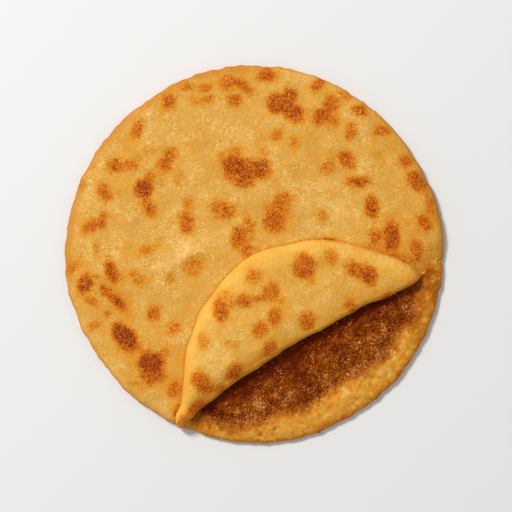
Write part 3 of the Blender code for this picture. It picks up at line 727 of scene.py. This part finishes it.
def warmth(x, y, patches):
    """How far broad patches deepen the dough, most evenly baked and a few painted shade or highlight: a bell
    curve each.
    """
    return sum(
        depth * np.exp(-((x - patch_x * MM) ** 2 + (y - patch_y * MM) ** 2) / (radius * MM) ** 2)
        for patch_x, patch_y, radius, depth in patches
    )


# ---------------------------------------------------------------- grids of points


def spaced(count, ease):
    """Numbers from -1 to 1, closer together towards both ends: u + ease / pi * sin(pi * u)."""
    even = np.linspace(-1, 1, count)
    return np.clip(even + ease / math.pi * np.sin(math.pi * even), -1, 1)


def flat_rows(sizes, columns):
    """The flat sheet as chords of the outline, from the far rim's single point to the fold line.

    A chord at angle t from the far rim lies at radius times cos t and is half as wide as radius
    times sin t. The last chords bend smoothly into the fold line.
    """
    last = math.acos(fold_line(sizes, 1.0) / sizes.upper_radius)
    chord = np.linspace(0, last, SHEET_ROWS + 1)[:, None]
    along, across = np.sin(chord) * columns, np.cos(chord) * np.ones_like(columns)
    x, y = place(sizes, along, across)
    scale = upper_outline(sizes, np.arctan2(y, x))
    bend = smooth(2 * chord / last - 1) * (fold_line(sizes, columns) - fold_line(sizes, 1.0))
    along, across = along * scale, across * scale + bend
    x, y = place(sizes, along, across)
    bottom, top = sheet_faces(sizes, along, across)
    from_border = upper_outline(sizes, np.arctan2(y, x)) - np.hypot(x, y)
    return along, across, (bottom + top) / 2, (top - bottom) / 2, from_border


def flap_rows(sizes, columns):
    """The flap as rows over the flat sheet, from the roll's top to the flap's peak.

    A point's share of the plain reach is kept as its share of the reach with the border's bulges. The
    flap lies on the sheet, apart from a gap as wide as the roll that closes as a cosine, and a bulge
    that rises as a parabola from the fold and from the border. Its left end is thicker, over a wider
    border. Past the flap's right end the first row runs on along the sealed edge.
    """
    rise = np.append(0, np.sin(np.linspace(FLAP_FIRST_TURN, math.pi / 2, FLAP_ROWS)))[:, None]
    last, end = fold_end(sizes)
    left_length, right_length = sizes.flap_peak + end, sizes.flap_right - sizes.flap_peak
    left = sizes.flap_peak - left_length * (1 - rise) ** (1 / FLAP_LEFT_POWER)
    right = sizes.flap_peak + right_length * (1 - rise) ** (1 / FLAP_RIGHT_POWER)
    along = left + (right - left) * np.minimum((columns + 1) * end / (sizes.flap_right + end), 1)
    along[0] = columns * end
    plain, reach, slope = flap_border(sizes, along)
    reach[0] = plain[0]
    part = np.clip(sizes.flap_reach * rise / np.maximum(plain, LAYER_GAP), 0, 1)
    above = part * reach
    across = last + above + (fold_line(sizes, columns) - last) * (1 - rise) ** 2

    from_border = np.maximum(reach - above, 0) / np.sqrt(1 + slope**2)
    puff = sizes.flap_puff / sizes.sheet * smooth((sizes.flap_peak - along) / FLAP_PUFF_LENGTH)
    half = sizes.sheet / 2 * (1 + puff) * round_off(from_border / (sizes.sheet_edge * (1 + puff)))
    half[0] = np.maximum(half[0], SEALED_SHARE * sizes.sheet / 2 * np.sqrt(1 - columns[0] ** 2))
    opening = 2 * roll_radius(sizes, columns) - LAYER_GAP - 2 * half[:1]
    settled = np.minimum(part / FLAP_SETTLE_SHARE, 1)
    gap = LAYER_GAP + np.clip(opening, 0, None) * (1 + np.cos(math.pi * settled)) / 2
    bulge = flap_bulge(sizes, along, roll_radius(sizes, columns) + above, from_border)
    return along, across, sheet_faces(sizes, along, across)[1] + gap + half + bulge, half, from_border


def upper_tones(sizes, columns, along, across, lean, from_border):
    """How far a point's place changes its tone: contact, painted warm light, painted highlight and rim.

    The sheet is browner beside the flap's border, by a bell curve, partly browning and partly painted
    contact shade, and at its rim on one side of the bread, partly browning and partly painted shade as
    from a dish's wall. The flap gets painted warm light beside the fold, and painted highlight, most of
    all at its border.
    """
    _, reach, slope = flap_border(sizes, along)
    beside_flap = (reach - across + fold_end(sizes)[0]) / np.sqrt(1 + slope**2)
    # painted contact shade, partly browning, in a thin line beside the flap's border
    contact = np.where(lean > 0, 0, CONTACT_SHADE_AND_BROWN * np.exp(-((beside_flap / CONTACT_WIDTH) ** 2)))
    contact = contact * (CONTACT_LEFT + (1 - CONTACT_LEFT) * step(along, *CONTACT_BAND))
    from_outside = roll_radius(sizes, columns) * (1 - np.sin(lean))
    from_fold = from_outside + np.maximum(across - fold_line(sizes, columns), 0)
    # painted warm light beside the fold, as bounced and shone through the dough in its shade
    bounce_tint = FOLD_BOUNCE_TINT * (1 - step(from_fold, *FOLD_BAND))
    # painted highlight on the flap, most of all at its border
    highlight_level = FLAP_HIGHLIGHT + BORDER_HIGHLIGHT * (1 - smooth(from_border / BORDER_BAND)) * (1 - sealed(columns))
    x, y = place(sizes, along, across)
    # painted shade, partly browning, on the sheet's rim towards one side, as from a dish's wall
    rim = step(np.cos(np.arctan2(y, x) - RIM_SHADE_DIRECTION), *RIM_SHADE_COSINES)
    rim = np.where(lean > 0, 0, RIM_SHADE_AND_BROWN * rim * (1 - step(from_border, *RIM_SHADE_BAND)))
    return contact, bounce_tint, highlight_level, rim


def upper_skins(sizes):
    """Both skins of the top layer with their browning, from the rim over the roll to the flap's peak.

    The middle surface is pushed out by half the dough to each side. On the roll it is half an ellipse
    between the flat sheet and the flap, and the dough's own up direction turns with it. The flap's bulge
    starts at the roll's outside. Noise and the rise of the scorch spots are added to the side that shows,
    and fade out at the border.
    """
    columns = spaced(SHEET_COLUMNS + 1, COLUMN_EASE)[None, :]
    flat, flap = flat_rows(sizes, columns), flap_rows(sizes, columns)
    out = roll_radius(sizes, columns)
    sealed_edge = flat[2][-1] + 2 * out[0]
    flap[2][0] += (sealed_edge - flap[2][0]) * sealed(columns[0])
    lean_roll = np.linspace(0, math.pi, ROLL_ROWS + 2)[1:-1, None]
    over = (1 - np.cos(lean_roll)) / 2
    roll = [first[-1:] + (last[:1] - first[-1:]) * over for first, last in zip(flat, flap)]
    roll[1] = roll[1] - out * np.sin(lean_roll)
    from_outside = np.where(lean_roll > math.pi / 2, out * (1 - np.sin(lean_roll)), 0)
    bulge, whole = (flap_bulge(sizes, flap[0][:1], way, flap[4][:1]) for way in (from_outside, out))
    roll[2] += (bulge - whole * over) * (1 - sealed(columns))
    along, across, middle, half, from_border = (
        np.concatenate(parts) for parts in zip(flat, roll, flap)
    )
    flat_lean, flap_lean = np.zeros((len(flat[0]), 1)), np.full((len(flap[0]), 1), math.pi)
    lean = np.concatenate([flat_lean, lean_roll, flap_lean]) * np.ones_like(along)
    unrolled = across - out * (math.pi - lean)
    inside = smooth(from_border / sizes.sheet_edge)
    contact, bounce_tint, highlight_level, rim = upper_tones(sizes, columns, along, across, lean, from_border)

    # the third list carries baked patches, painted contact shade and painted warm light; the fourth painted
    # highlight
    skins, depths, warm, bright = [], [], [], []
    for side, spots, patches, tone, light in (
        (1, TOP_SPOTS, TOP_PATCHES, contact, 0),
        (-1, FLAP_SPOTS, FLAP_PATCHES, bounce_tint, highlight_level),
    ):
        shows = step(lean, *FLAP_LEAN) if side < 0 else 1 - step(lean, *SHEET_LEAN)
        x, y = place(sizes, along, across + side * half * np.sin(lean))
        depth = browning(x, y, spots) * shows
        relief = noise_sum(along, unrolled, FLAP_NOISE, SEED_FLAP) if side < 0 else 0
        thick = half + (relief + SPOT_RISE * depth) * inside * shows
        x, y = place(sizes, along, across + side * thick * np.sin(lean))
        skins.append(np.stack([x, y, middle + side * thick * np.cos(lean)], axis=-1))
        depths.append(depth)
        warm.append((warmth(x, y, patches) + tone) * shows)
        bright.append(light * shows)
    border = np.where(lean > 0, sizes.upper_radius, from_border)
    # the rim values are painted shade, partly browning, on one side of the sheet's rim
    shared = {"border": [border, border], "rim": [rim, rim]}
    return skins, {"browning": depths, "warmth": warm, "bright": bright, **shared}


def round_angles():
    """Directions once round the bread, closer together where the ring and the filling show."""
    shown = np.linspace(*EXPOSED_ARC, EXPOSED_STEPS, endpoint=False)
    hidden = np.linspace(EXPOSED_ARC[1], EXPOSED_ARC[0] + TURN, HIDDEN_STEPS + 1)
    return np.concatenate([shown, hidden])[None, :]


def round_points(radii, angle, height):
    """A round grid: a ring of points for each row of radii, at the height given for them."""
    x, y = radii * np.cos(angle), radii * np.sin(angle)
    return np.stack([x, y, height(x, y) * np.ones_like(x)], axis=-1)


def random_spots(count, radius, seed):
    """Scorch spots at random places in a round, most of them small and a few of them large and deep."""
    draw = np.random.default_rng(seed)
    away, direction = radius * np.sqrt(draw.random(count)), TURN * draw.random(count)
    shortest, longest = UNDERSIDE_SPOT_LENGTHS
    half_length = shortest + (longest - shortest) * draw.random(count) ** 2
    half_width = half_length * draw.uniform(*UNDERSIDE_SPOT_WIDTHS, count)
    deeper = LARGE_SPOT_DEEPER * (half_length > LARGE_SPOT_LENGTH)
    depth = draw.uniform(*UNDERSIDE_SPOT_DEPTHS, count) + deeper
    rows = (away * np.cos(direction) / MM, away * np.sin(direction) / MM, half_length, half_width)
    return np.stack([*rows, draw.uniform(0, 180, count), depth], axis=-1)


def lower_skins(sizes):
    """Top and underside of the bottom layer, with browning and how much sugar has soaked into it.

    The underside is flat in its middle and turns up to the outline as a quarter ellipse.
    """
    angle = round_angles()
    inner, outer = filling_reach(angle), lower_outline(sizes, angle)
    even = np.linspace(0, 1, RING_ROWS + 1)[:, None]
    ring = (even + np.sin(even * math.pi / 2)) / 2
    floor = np.array(FLOOR_SHARES)[:, None]
    top = round_points(
        np.concatenate([floor * inner, inner + ring * (outer - inner)]),
        angle,
        lambda x, y: lower_top(sizes, x, y),
    )
    foot = outer - sizes.foot_inset
    turned_up = np.cos(np.linspace(0, math.pi / 2, FOOT_ROWS + 1))[:-1, None] * sizes.foot_inset + foot
    flat_radii = np.linspace(1, 0, UNDERSIDE_ROWS)[:, None] * foot

    def underside(x, y):
        out = (np.hypot(x, y) - foot) / sizes.foot_inset
        relief = np.abs(noise_sum(x, y, UNDERSIDE_NOISE, SEED_UNDERSIDE)) * smooth(-out)
        return LOWER_EDGE_HEIGHT * (1 - round_off(1 - out)) + relief

    below = round_points(np.concatenate([turned_up, flat_radii]), angle, underside)
    below[0] = top[-1]

    x, y = top[..., 0], top[..., 1]
    part = rim_share(sizes, x, y, lower_outline)
    # the ring's outer edge is browner: partly browning, partly painted shade
    edge = RING_BROWN * step(part, RING_BROWN_SHARE, 1)
    spots = random_spots(UNDERSIDE_SPOTS, sizes.lower_radius - sizes.foot_inset, SEED_UNDERSIDE_SPOTS)
    under_brown = browning(below[..., 0], below[..., 1], spots)
    return [top, below], {"browning": [edge, under_brown], "soaked": [sugar_share(x, y), 0 * under_brown]}


def filling_skins(sizes):
    """Top and underside of the filling, with values for its colour.

    These are how high a point lies on its lump, how much paler or darker it is by its place, how far it
    is in the fold's shade, and how much sugar there is.
    """
    angle = round_angles()
    edge = filling_outline(angle)
    first, last = FILLING_SHOWN_SHARES
    shown = np.linspace(first, last, FILLING_SHOWN_ROWS, endpoint=False)
    rounded = last + (1 - last) * np.sin(np.linspace(0, math.pi / 2, FILLING_EDGE_ROWS))
    top_shares = np.concatenate([FILLING_HIDDEN_SHARES, shown, rounded])[:, None]
    top = round_points(top_shares * edge, angle, lambda x, y: filling_surface(sizes, x, y))
    below_shares = np.append(np.linspace(1, FILLING_BELOW_SHARE, FILLING_BELOW_ROWS), 0)[:, None]
    below = round_points(below_shares * edge, angle, lambda x, y: filling_floor(sizes, x, y))
    below[0] = top[-1]
    x, y = top[..., 0], top[..., 1]
    shade = 1 - step(past_fold(sizes, x, y), *FILLING_SHADE)
    seen = {
        "lump": np.clip(0.5 + filling_lumps(x, y) / LUMPS_SPAN, 0, 1),
        # beside the fold the filling is made darker: partly painted shade of the fold, partly wetter syrup
        "paler": warmth(x, y, FILLING_PATCHES) - SHADE_DARK * shade,
        "shade": shade,
        "soaked": sugar_share(x, y),
    }
    return [top, below], {name: [values, np.zeros(below.shape[:2])] for name, values in seen.items()}


def add_attribute(data, name, values):
    """Gives each point of a mesh a number that its material reads."""
    made = data.attributes.new(name, "FLOAT", "POINT")
    made.data.foreach_set("value", values.astype(np.float32))


def closed_mesh(name, skins, **attributes):
    """One closed mesh from grids of points that share their borders, with a value for each point.

    Points that lie together are merged, which closes seams and poles, and faces then point outwards.
    """
    faces, first = [], 0
    for skin in skins:
        index = first + np.arange(skin.shape[0] * skin.shape[1]).reshape(skin.shape[:2])
        corners = (index[:-1, :-1], index[:-1, 1:], index[1:, 1:], index[1:, :-1])
        faces.append(np.stack(corners, axis=-1).reshape(-1, 4))
        first += index.size
    data = bpy.data.meshes.new(name)
    points = np.concatenate([skin.reshape(-1, 3) for skin in skins])
    data.from_pydata(points, [], np.concatenate(faces))
    for attribute, values in attributes.items():
        add_attribute(data, attribute, np.concatenate([part.ravel() for part in values]))
    mesh = bmesh.new()
    mesh.from_mesh(data)
    bmesh.ops.remove_doubles(mesh, verts=mesh.verts, dist=MERGE_DISTANCE)
    bmesh.ops.recalc_face_normals(mesh, faces=mesh.faces)
    mesh.to_mesh(data)
    mesh.free()
    data.shade_smooth()
    return data


def grain_mesh(name, sizes):
    """Loose sugar grains in one mesh: boxes of random size and turn, about half sunk into the filling.

    Places are drawn evenly over the part of the round where the filling shows, and kept at random, by
    how much sugar there is and how far the fold is. A box's corners are shrunk at random, which gives
    the broken shape of a crystal.
    """
    draw = np.random.default_rng(SEED_GRAINS)
    drawn = GRAIN_DRAWS * sizes.grains
    away = sizes.upper_radius * np.sqrt(draw.uniform(GRAIN_INNER, 1, drawn))
    angle = draw.uniform(*EXPOSED_ARC, drawn)
    x, y = away * np.cos(angle), away * np.sin(angle)
    from_fold = past_fold(sizes, x, y)
    wanted = GRAINS_AT_FOLD + (1 - GRAINS_AT_FOLD) * step(from_fold, *FILLING_SHADE)
    wanted = wanted * step(sugar_share(x, y, stains=()), *GRAIN_SUGAR)
    kept = (draw.random(drawn) < wanted) & (from_fold > -GRAIN_UNDER_FOLD)
    x, y = x[kept][: sizes.grains], y[kept][: sizes.grains]
    count = len(x)
    z = np.maximum(filling_surface(sizes, x, y), lower_top(sizes, x, y))

    corner = np.array([(i, j, k) for i in (-1, 1) for j in (-1, 1) for k in (-1, 1)]) / 2
    size = sizes.grain * np.exp(draw.normal(0, GRAIN_SIZE_SPREAD, (count, 1, 1)))
    stretch = draw.uniform(*GRAIN_STRETCH, (count, 1, 3))
    box = corner * draw.uniform(*GRAIN_CORNERS, (count, len(corner), 1)) * stretch * size
    quaternion = draw.normal(size=(count, 4))
    w, i, j, k = (quaternion / np.linalg.norm(quaternion, axis=1, keepdims=True)).T
    spin = np.stack(
        [
            np.stack([1 - 2 * (j * j + k * k), 2 * (i * j - w * k), 2 * (i * k + w * j)], axis=-1),
            np.stack([2 * (i * j + w * k), 1 - 2 * (i * i + k * k), 2 * (j * k - w * i)], axis=-1),
            np.stack([2 * (i * k - w * j), 2 * (j * k + w * i), 1 - 2 * (i * i + j * j)], axis=-1),
        ],
        axis=1,
    )
    centre = np.stack([x, y, z + GRAIN_RISE * size[:, 0, 0]], axis=-1)[:, None, :]
    points = centre + np.einsum("nab,ncb->nca", spin, box)
    sides = np.array([(0, 1, 3, 2), (4, 6, 7, 5), (0, 4, 5, 1), (2, 3, 7, 6), (0, 2, 6, 4), (1, 5, 7, 3)])
    faces = (len(corner) * np.arange(count)[:, None, None] + sides).reshape(-1, 4)
    data = bpy.data.meshes.new(name)
    data.from_pydata(points.reshape(-1, 3), [], faces)
    tone = draw.random(count) + warmth(x, y, FILLING_PATCHES)
    add_attribute(data, "tone", np.repeat(tone, len(corner)))
    add_attribute(data, "soaked", np.repeat(sugar_share(x, y), len(corner)))
    return data


# ---------------------------------------------------------------- materials


class Value:
    """A shader socket that reads as a number: arithmetic on it adds Math nodes."""

    def __init__(self, graph, socket):
        self.graph = graph
        self.socket = socket

    def math(self, operation, *values, clamp=False):
        settings = {"operation": operation, "use_clamp": clamp}
        return self.graph.add("ShaderNodeMath", settings, dict(enumerate(values)))

    def __add__(self, other):
        return self.math("ADD", self, other)

    def __sub__(self, other):
        return self.math("SUBTRACT", self, other)

    def __rsub__(self, other):
        return self.math("SUBTRACT", other, self)

    def __mul__(self, other):
        return self.math("MULTIPLY", self, other)

    __radd__ = __add__
    __rmul__ = __mul__

    def clamped(self):
        return self.math("ADD", self, 0, clamp=True)

    def between(self, low, high):
        """0 below low, 1 above high, and a smoothstep between them."""
        settings = {"interpolation_type": "SMOOTHSTEP"}
        return self.graph.add("ShaderNodeMapRange", settings, {0: self, 1: low, 2: high})


class Graph:
    """A new material's nodes."""

    def __init__(self, name):
        self.material = bpy.data.materials.new(name)
        self.material.use_nodes = True
        self.tree = self.material.node_tree
        self.shader = self.tree.nodes["Principled BSDF"]
        self.place = self.add("ShaderNodeTexCoord", output="Object")

    def add(self, kind, settings=None, inputs=None, output=0):
        """Adds a node: first its settings or a ramp's stops, then its sockets' values or links."""
        node = self.tree.nodes.new(kind)
        for key, value in (settings or {}).items():
            if key == "stops":
                ramp = node.color_ramp.elements
                for position, _ in value[2:]:
                    ramp.new(position)
                for element, (position, tint) in zip(ramp, value):
                    element.position, element.color = position, (*tint, 1)
            else:
                setattr(node, key, value)
        self.feed(node, inputs or {})
        return Value(self, node.outputs[output])

    def feed(self, node, inputs):
        for key, value in inputs.items():
            if isinstance(value, Value):
                self.tree.links.new(value.socket, node.inputs[key])
            else:
                node.inputs[key].default_value = value

    def attribute(self, name):
        return self.add("ShaderNodeAttribute", {"attribute_name": name}, output="Fac")

    def noise(self, cell, detail, roughness=0.5, vector=None):
        """Noise of a given cell in metres, from 0 to 1 about 0.5."""
        inputs = {"Vector": vector or self.place, "Scale": 1 / cell, "Detail": detail, "Roughness": roughness}
        return self.add("ShaderNodeTexNoise", {"noise_dimensions": "3D"}, inputs)

    def ramp(self, value, *stops):
        """Colours along a value: each stop is a position and its colour, in rising order."""
        return self.add("ShaderNodeValToRGB", {"stops": stops}, {0: value}, output="Color")

    def mix(self, factor, first, second):
        settings = {"data_type": "RGBA", "clamp_factor": True}
        inputs = {0: factor, 6: opaque(first), 7: opaque(second)}
        return self.add("ShaderNodeMix", settings, inputs, output=2)

    def bump(self, height, distance, strength):
        inputs = {"Height": height, "Distance": distance, "Strength": strength}
        return self.add("ShaderNodeBump", None, inputs, output="Normal")

    def finish(self, **inputs):
        """Feeds the shader: a socket's name is written with underscores."""
        self.feed(self.shader, {key.replace("_", " "): value for key, value in inputs.items()})
        return self.material


def opaque(tint):
    """A colour with its alpha, or a socket as it is."""
    return tint if isinstance(tint, Value) else (*tint, 1)


def dough_colour(graph, colours, level):
    """Dough from pale to burnt, along a level that is 0.2 where it is plain."""
    return graph.ramp(
        level,
        (0.0, colours.pale),
        (0.2, colours.dough),
        (0.34, colours.golden),
        (0.46, colours.orange),
        (0.58, colours.toasted),
        (0.72, colours.brown),
        (0.87, colours.scorched),
        (1.0, colours.burnt),
    )


def upper_material(colours):
    """Cooked dough with scorch spots.

    Grainy areas with pale specks take turns with smooth golden ones and dull ones. Fine noise breaks
    the spots up into flecks, and a grainy bump lies over it all. Painted highlight lightens the flap,
    painted shade with some browning darkens the sheet's rim on one side, and the border is browner,
    partly as painted shade.
    """
    graph = Graph("browned_dough")
    spots, border, warm = (graph.attribute(name) for name in ("browning", "border", "warmth"))
    broad, blotch = graph.noise(16 * MM, 2), graph.noise(4.5 * MM, 3, 0.6)
    mottle, grain = graph.noise(1.7 * MM, 3, 0.65), graph.noise(0.75 * MM, 1)
    fleck = graph.noise(0.85 * MM, 1)
    speck = graph.noise(0.6 * MM, 1, vector=shifted(graph, 0.4)).between(0.52, 0.72)
    grainy = graph.noise(9 * MM, 3).between(0.38, 0.6)
    golden = graph.noise(7 * MM, 2, vector=shifted(graph, 0.2)).between(0.5, 0.68)
    dull = graph.noise(6 * MM, 2, vector=shifted(graph, 0.3)).between(0.56, 0.7)
    # the sheet's border is browner: partly browning, partly painted shade at its rounded edge
    edge = (1 - border.between(0.1 * MM, 1.9 * MM)) * 0.22
    uneven = (broad - 0.5) * 0.2 + (blotch - 0.5) * 0.24 + golden * 0.07
    speckle = (grain - 0.5) * (0.2 + 0.36 * grainy) + (mottle - 0.5) * (0.2 + 0.2 * grainy)
    flecks = spots * ((mottle - 0.5) * 0.7 + (fleck - 0.5) * 1.5)
    # warm holds baked patches, painted contact shade beside the flap's border and painted warm light by the
    # fold
    plain = 0.2 - 0.05 * grainy + uneven + speckle + edge + warm
    level = (plain + spots * 0.76 + flecks).clamped()
    spotless = 1 - spots.between(0, 0.3)
    tint = graph.mix(dull * spotless * 0.45, dough_colour(graph, colours, level), colours.dull)
    # painted highlight on the flap, left off its spots
    tint = graph.mix(graph.attribute("bright") * spotless, tint, colours.bright)
    # painted shade, partly browning, on the sheet's rim towards one side
    tint = graph.mix(graph.attribute("rim"), tint, colours.stain)
    speck_tint = graph.mix(spots, colours.pale, colours.dull)
    tint = graph.mix(speck * (0.08 + spots * 0.3), tint, speck_tint)
    height = graph.noise(1.2 * MM, 4, 0.6) * 0.8 + grain * (0.2 + 0.4 * grainy) - spots * mottle * 0.5
    return graph.finish(
        Base_Color=tint,
        Roughness=0.55 + (mottle - 0.5) * 0.3,
        Normal=graph.bump(height, 0.45 * MM, 1.0),
        Specular_IOR_Level=0.05,
    )


def soaked_dough(graph, colours):
    """Ragged share of sugar in the dough, and the colour that so much sugar gives it."""
    soaked = graph.attribute("soaked")
    blotch, mottle = graph.noise(5 * MM, 3, 0.6), graph.noise(1.8 * MM, 3, 0.65)
    uneven = (blotch - 0.5) * 1.3 + (mottle - 0.5) * 0.9 + (graph.noise(0.8 * MM, 1) - 0.5) * 0.4
    ragged = soaked + uneven * soaked.between(0, 0.5)
    tint = graph.ramp(
        ragged.clamped(),
        (0.0, colours.golden),
        (0.22, colours.syrup),
        (0.5, colours.stain),
        (1.0, colours.filling),
    )
    return ragged, tint


def lower_material(colours):
    """Dough of the rim and the underside: lumpier, and soaked with sugar beside the filling."""
    graph = Graph("pale_dough")
    spots = graph.attribute("browning")
    blotch, mottle = graph.noise(5 * MM, 3, 0.6), graph.noise(1.8 * MM, 3, 0.65)
    grain = graph.noise(0.8 * MM, 1)
    uneven = (blotch - 0.5) * 0.75 + (mottle - 0.5) * 0.6 + (grain - 0.5) * 0.22
    level = (0.31 + uneven + spots * (0.74 + (mottle - 0.5) * 0.9)).clamped()
    ragged, syrup = soaked_dough(graph, colours)
    tint = graph.mix(ragged.between(0.02, 0.36), dough_colour(graph, colours, level), syrup)
    height = graph.noise(1.3 * MM, 4, 0.6) + grain * 0.3
    return graph.finish(
        Base_Color=tint,
        Roughness=0.55 - ragged.clamped() * 0.15,
        Normal=graph.bump(height, 0.45 * MM, 0.9),
        Specular_IOR_Level=0.08,
    )


def filling_material(colours):
    """Moist brown sugar, dark in its crevices and caramel on its lumps.

    At its edge it passes into soaked dough.
    """
    graph = Graph("brown_sugar")
    lump, paler, shade = (graph.attribute(name) for name in ("lump", "paler", "shade"))
    patch, clump = graph.noise(9 * MM, 3, 0.6), graph.noise(3 * MM, 3, 0.65)
    speck = graph.noise(0.9 * MM, 2, 0.6)
    crystal = graph.add(
        "ShaderNodeTexVoronoi", {"feature": "F1"}, {"Vector": graph.place, "Scale": 1 / (0.9 * MM)}
    )
    uneven = (patch - 0.5) * 2.2 + (clump - 0.5) * 2.2 + (speck - 0.5) * 0.9 + (0.45 - crystal) * 0.3
    level = 0.27 + lump * 0.3 + uneven * (1 - shade * 0.7) + paler
    sugar = graph.ramp(
        level.clamped(),
        (0.0, colours.crevice),
        (0.4, colours.filling),
        (0.78, colours.caramel),
        (1.0, colours.grain),
    )
    ragged, syrup = soaked_dough(graph, colours)
    return graph.finish(
        Base_Color=graph.mix(ragged.between(0.4, 0.85), syrup, sugar),
        Roughness=0.42 + (clump - 0.5) * 0.3,
        Normal=graph.bump(clump * 0.6 - crystal * 0.6, 0.5 * MM, 0.8),
        Specular_IOR_Level=0.03,
    )


def grain_material(colours):
    """Sugar grains, each with its own tone from that of the filling to a light one, partly painted glint."""
    graph = Graph("sugar_grain")
    tone, soaked = graph.attribute("tone"), graph.attribute("soaked")
    level = tone * 0.75 + (graph.noise(6 * MM, 3, 0.6) - 0.5) * 2.0 + 0.6 - soaked * 0.5
    tint = graph.ramp(
        level.clamped(),
        (0.0, colours.crevice),
        (0.35, colours.filling),
        (0.8, colours.caramel),
        (1.0, colours.grain),
    )
    return graph.finish(Base_Color=tint, Roughness=0.4, Specular_IOR_Level=0.1)


def shifted(graph, distance):
    """Object coordinates moved aside, for noise that has to differ from another."""
    offset = {"operation": "ADD"}
    return graph.add("ShaderNodeVectorMath", offset, {0: graph.place, 1: (distance,) * 3})


# ---------------------------------------------------------------- operators


def add_piece(data, material, material_slot, *nodes):
    """An object for a finished mesh. It rides on the bread's one body and stands for its solids."""
    data.materials.append(material)
    piece = bpy.data.objects.new(data.name, data)
    bpy.context.collection.objects.link(piece)
    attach(piece, "root")
    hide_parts(*nodes)


class FLATBREAD_OT_lower_layer(bpy.types.Operator):
    """Makes the bottom layer of dough, whose rim shows beside the filling"""

    bl_idname = "flatbread.lower_layer"
    bl_label = "Lower layer"

    def execute(self, context):
        skins, values = lower_skins(context.scene.bread_sizes)
        data = closed_mesh("bottom_dough", skins, **values)
        add_piece(data, lower_material(context.scene.bread_colours), "pale_dough", "lower_layer")
        return {"FINISHED"}


class FLATBREAD_OT_filling(bpy.types.Operator):
    """Makes the lumpy sugar filling"""

    bl_idname = "flatbread.filling"
    bl_label = "Filling"

    def execute(self, context):
        skins, values = filling_skins(context.scene.bread_sizes)
        data = closed_mesh("sugar_filling", skins, **values)
        add_piece(data, filling_material(context.scene.bread_colours), "brown_sugar", "filling")
        return {"FINISHED"}


class FLATBREAD_OT_grains(bpy.types.Operator):
    """Makes the loose sugar grains on the filling"""

    bl_idname = "flatbread.grains"
    bl_label = "Sugar grains"

    def execute(self, context):
        data = grain_mesh("sugar_grains", context.scene.bread_sizes)
        add_piece(data, grain_material(context.scene.bread_colours), "brown_sugar")
        return {"FINISHED"}


class FLATBREAD_OT_upper_layer(bpy.types.Operator):
    """Makes the browned top layer of dough with its fold and its flap"""

    bl_idname = "flatbread.upper_layer"
    bl_label = "Upper layer"

    def execute(self, context):
        skins, values = upper_skins(context.scene.bread_sizes)
        data = closed_mesh("top_dough", skins, **values)
        add_piece(data, upper_material(context.scene.bread_colours), "browned_dough", "upper_layer")
        return {"FINISHED"}


class FLATBREAD_OT_studio(bpy.types.Operator):
    """Makes the floor, the light and the camera"""

    bl_idname = "flatbread.studio"
    bl_label = "Studio"

    def execute(self, context):
        studio = context.scene.studio
        self.make_floor(context, studio)
        self.make_light(context, studio)
        self.make_camera(context, studio)
        context.scene.view_settings.view_transform = "Standard"
        return {"FINISHED"}

    def make_floor(self, context, studio):
        half = studio.floor_side / 2
        corners = [(-half, -half, 0), (half, -half, 0), (half, half, 0), (-half, half, 0)]
        data = bpy.data.meshes.new("floor")
        data.from_pydata(corners, [], [(0, 1, 2, 3)])
        graph = Graph("studio_floor")
        data.materials.append(graph.finish(Base_Color=opaque(studio.floor), Roughness=0.9))
        floor = bpy.data.objects.new("floor", data)
        context.collection.objects.link(floor)

    def make_light(self, context, studio):
        world = bpy.data.worlds.new("studio")
        world.use_nodes = True
        sky = world.node_tree.nodes["Background"]
        sky.inputs["Color"].default_value = (1, 1, 1, 1)
        sky.inputs["Strength"].default_value = studio.sky
        context.scene.world = world
        level, height = math.cos(studio.light_rise), math.sin(studio.light_rise)
        towards = Vector((level * math.cos(studio.light_turn), level * math.sin(studio.light_turn), height))
        data = bpy.data.lights.new("key", "AREA")
        data.energy, data.size = studio.light_power, studio.light_size
        key = bpy.data.objects.new("key", data)
        key.location = towards * studio.light_distance
        key.rotation_euler = towards.to_track_quat("Z", "Y").to_euler()
        context.collection.objects.link(key)

    def make_camera(self, context, studio):
        data = bpy.data.cameras.new("camera")
        data.lens = studio.lens
        camera = bpy.data.objects.new("camera", data)
        camera.location = (studio.aim_x, studio.aim_y, studio.aim_z + studio.distance)
        context.collection.objects.link(camera)
        context.scene.camera = camera


class FLATBREAD_PT_panel(bpy.types.Panel):
    """Lists the bread's pieces, sizes and colours"""

    bl_label = "Flatbread"
    bl_idname = "FLATBREAD_PT_panel"
    bl_space_type = "VIEW_3D"
    bl_region_type = "UI"
    bl_category = "Flatbread"

    def draw(self, context):
        for operator in OPERATORS:
            self.layout.operator(operator.bl_idname)
        for label, name, _ in GROUPS:
            box = self.layout.box()
            box.label(text=label)
            settings = getattr(context.scene, name)
            for field in settings.__annotations__:
                box.prop(settings, field)


OPERATORS = (
    FLATBREAD_OT_lower_layer,
    FLATBREAD_OT_filling,
    FLATBREAD_OT_grains,
    FLATBREAD_OT_upper_layer,
    FLATBREAD_OT_studio,
)
GROUPS = (
    ("Sizes", "bread_sizes", BreadSizes),
    ("Colours", "bread_colours", BreadColours),
    ("Studio", "studio", StudioSettings),
)


def register():
    for _, name, group in GROUPS:
        bpy.utils.register_class(group)
        setattr(bpy.types.Scene, name, PointerProperty(type=group))
    for operator in OPERATORS:
        bpy.utils.register_class(operator)
    bpy.utils.register_class(FLATBREAD_PT_panel)


def unregister():
    bpy.utils.unregister_class(FLATBREAD_PT_panel)
    for operator in reversed(OPERATORS):
        bpy.utils.unregister_class(operator)
    for _, name, group in reversed(GROUPS):
        delattr(bpy.types.Scene, name)
        bpy.utils.unregister_class(group)


def main():
    register()
    bpy.ops.flatbread.lower_layer()
    bpy.ops.flatbread.filling()
    bpy.ops.flatbread.grains()
    bpy.ops.flatbread.upper_layer()
    bpy.ops.flatbread.studio()


if __name__ == "__main__":
    main()
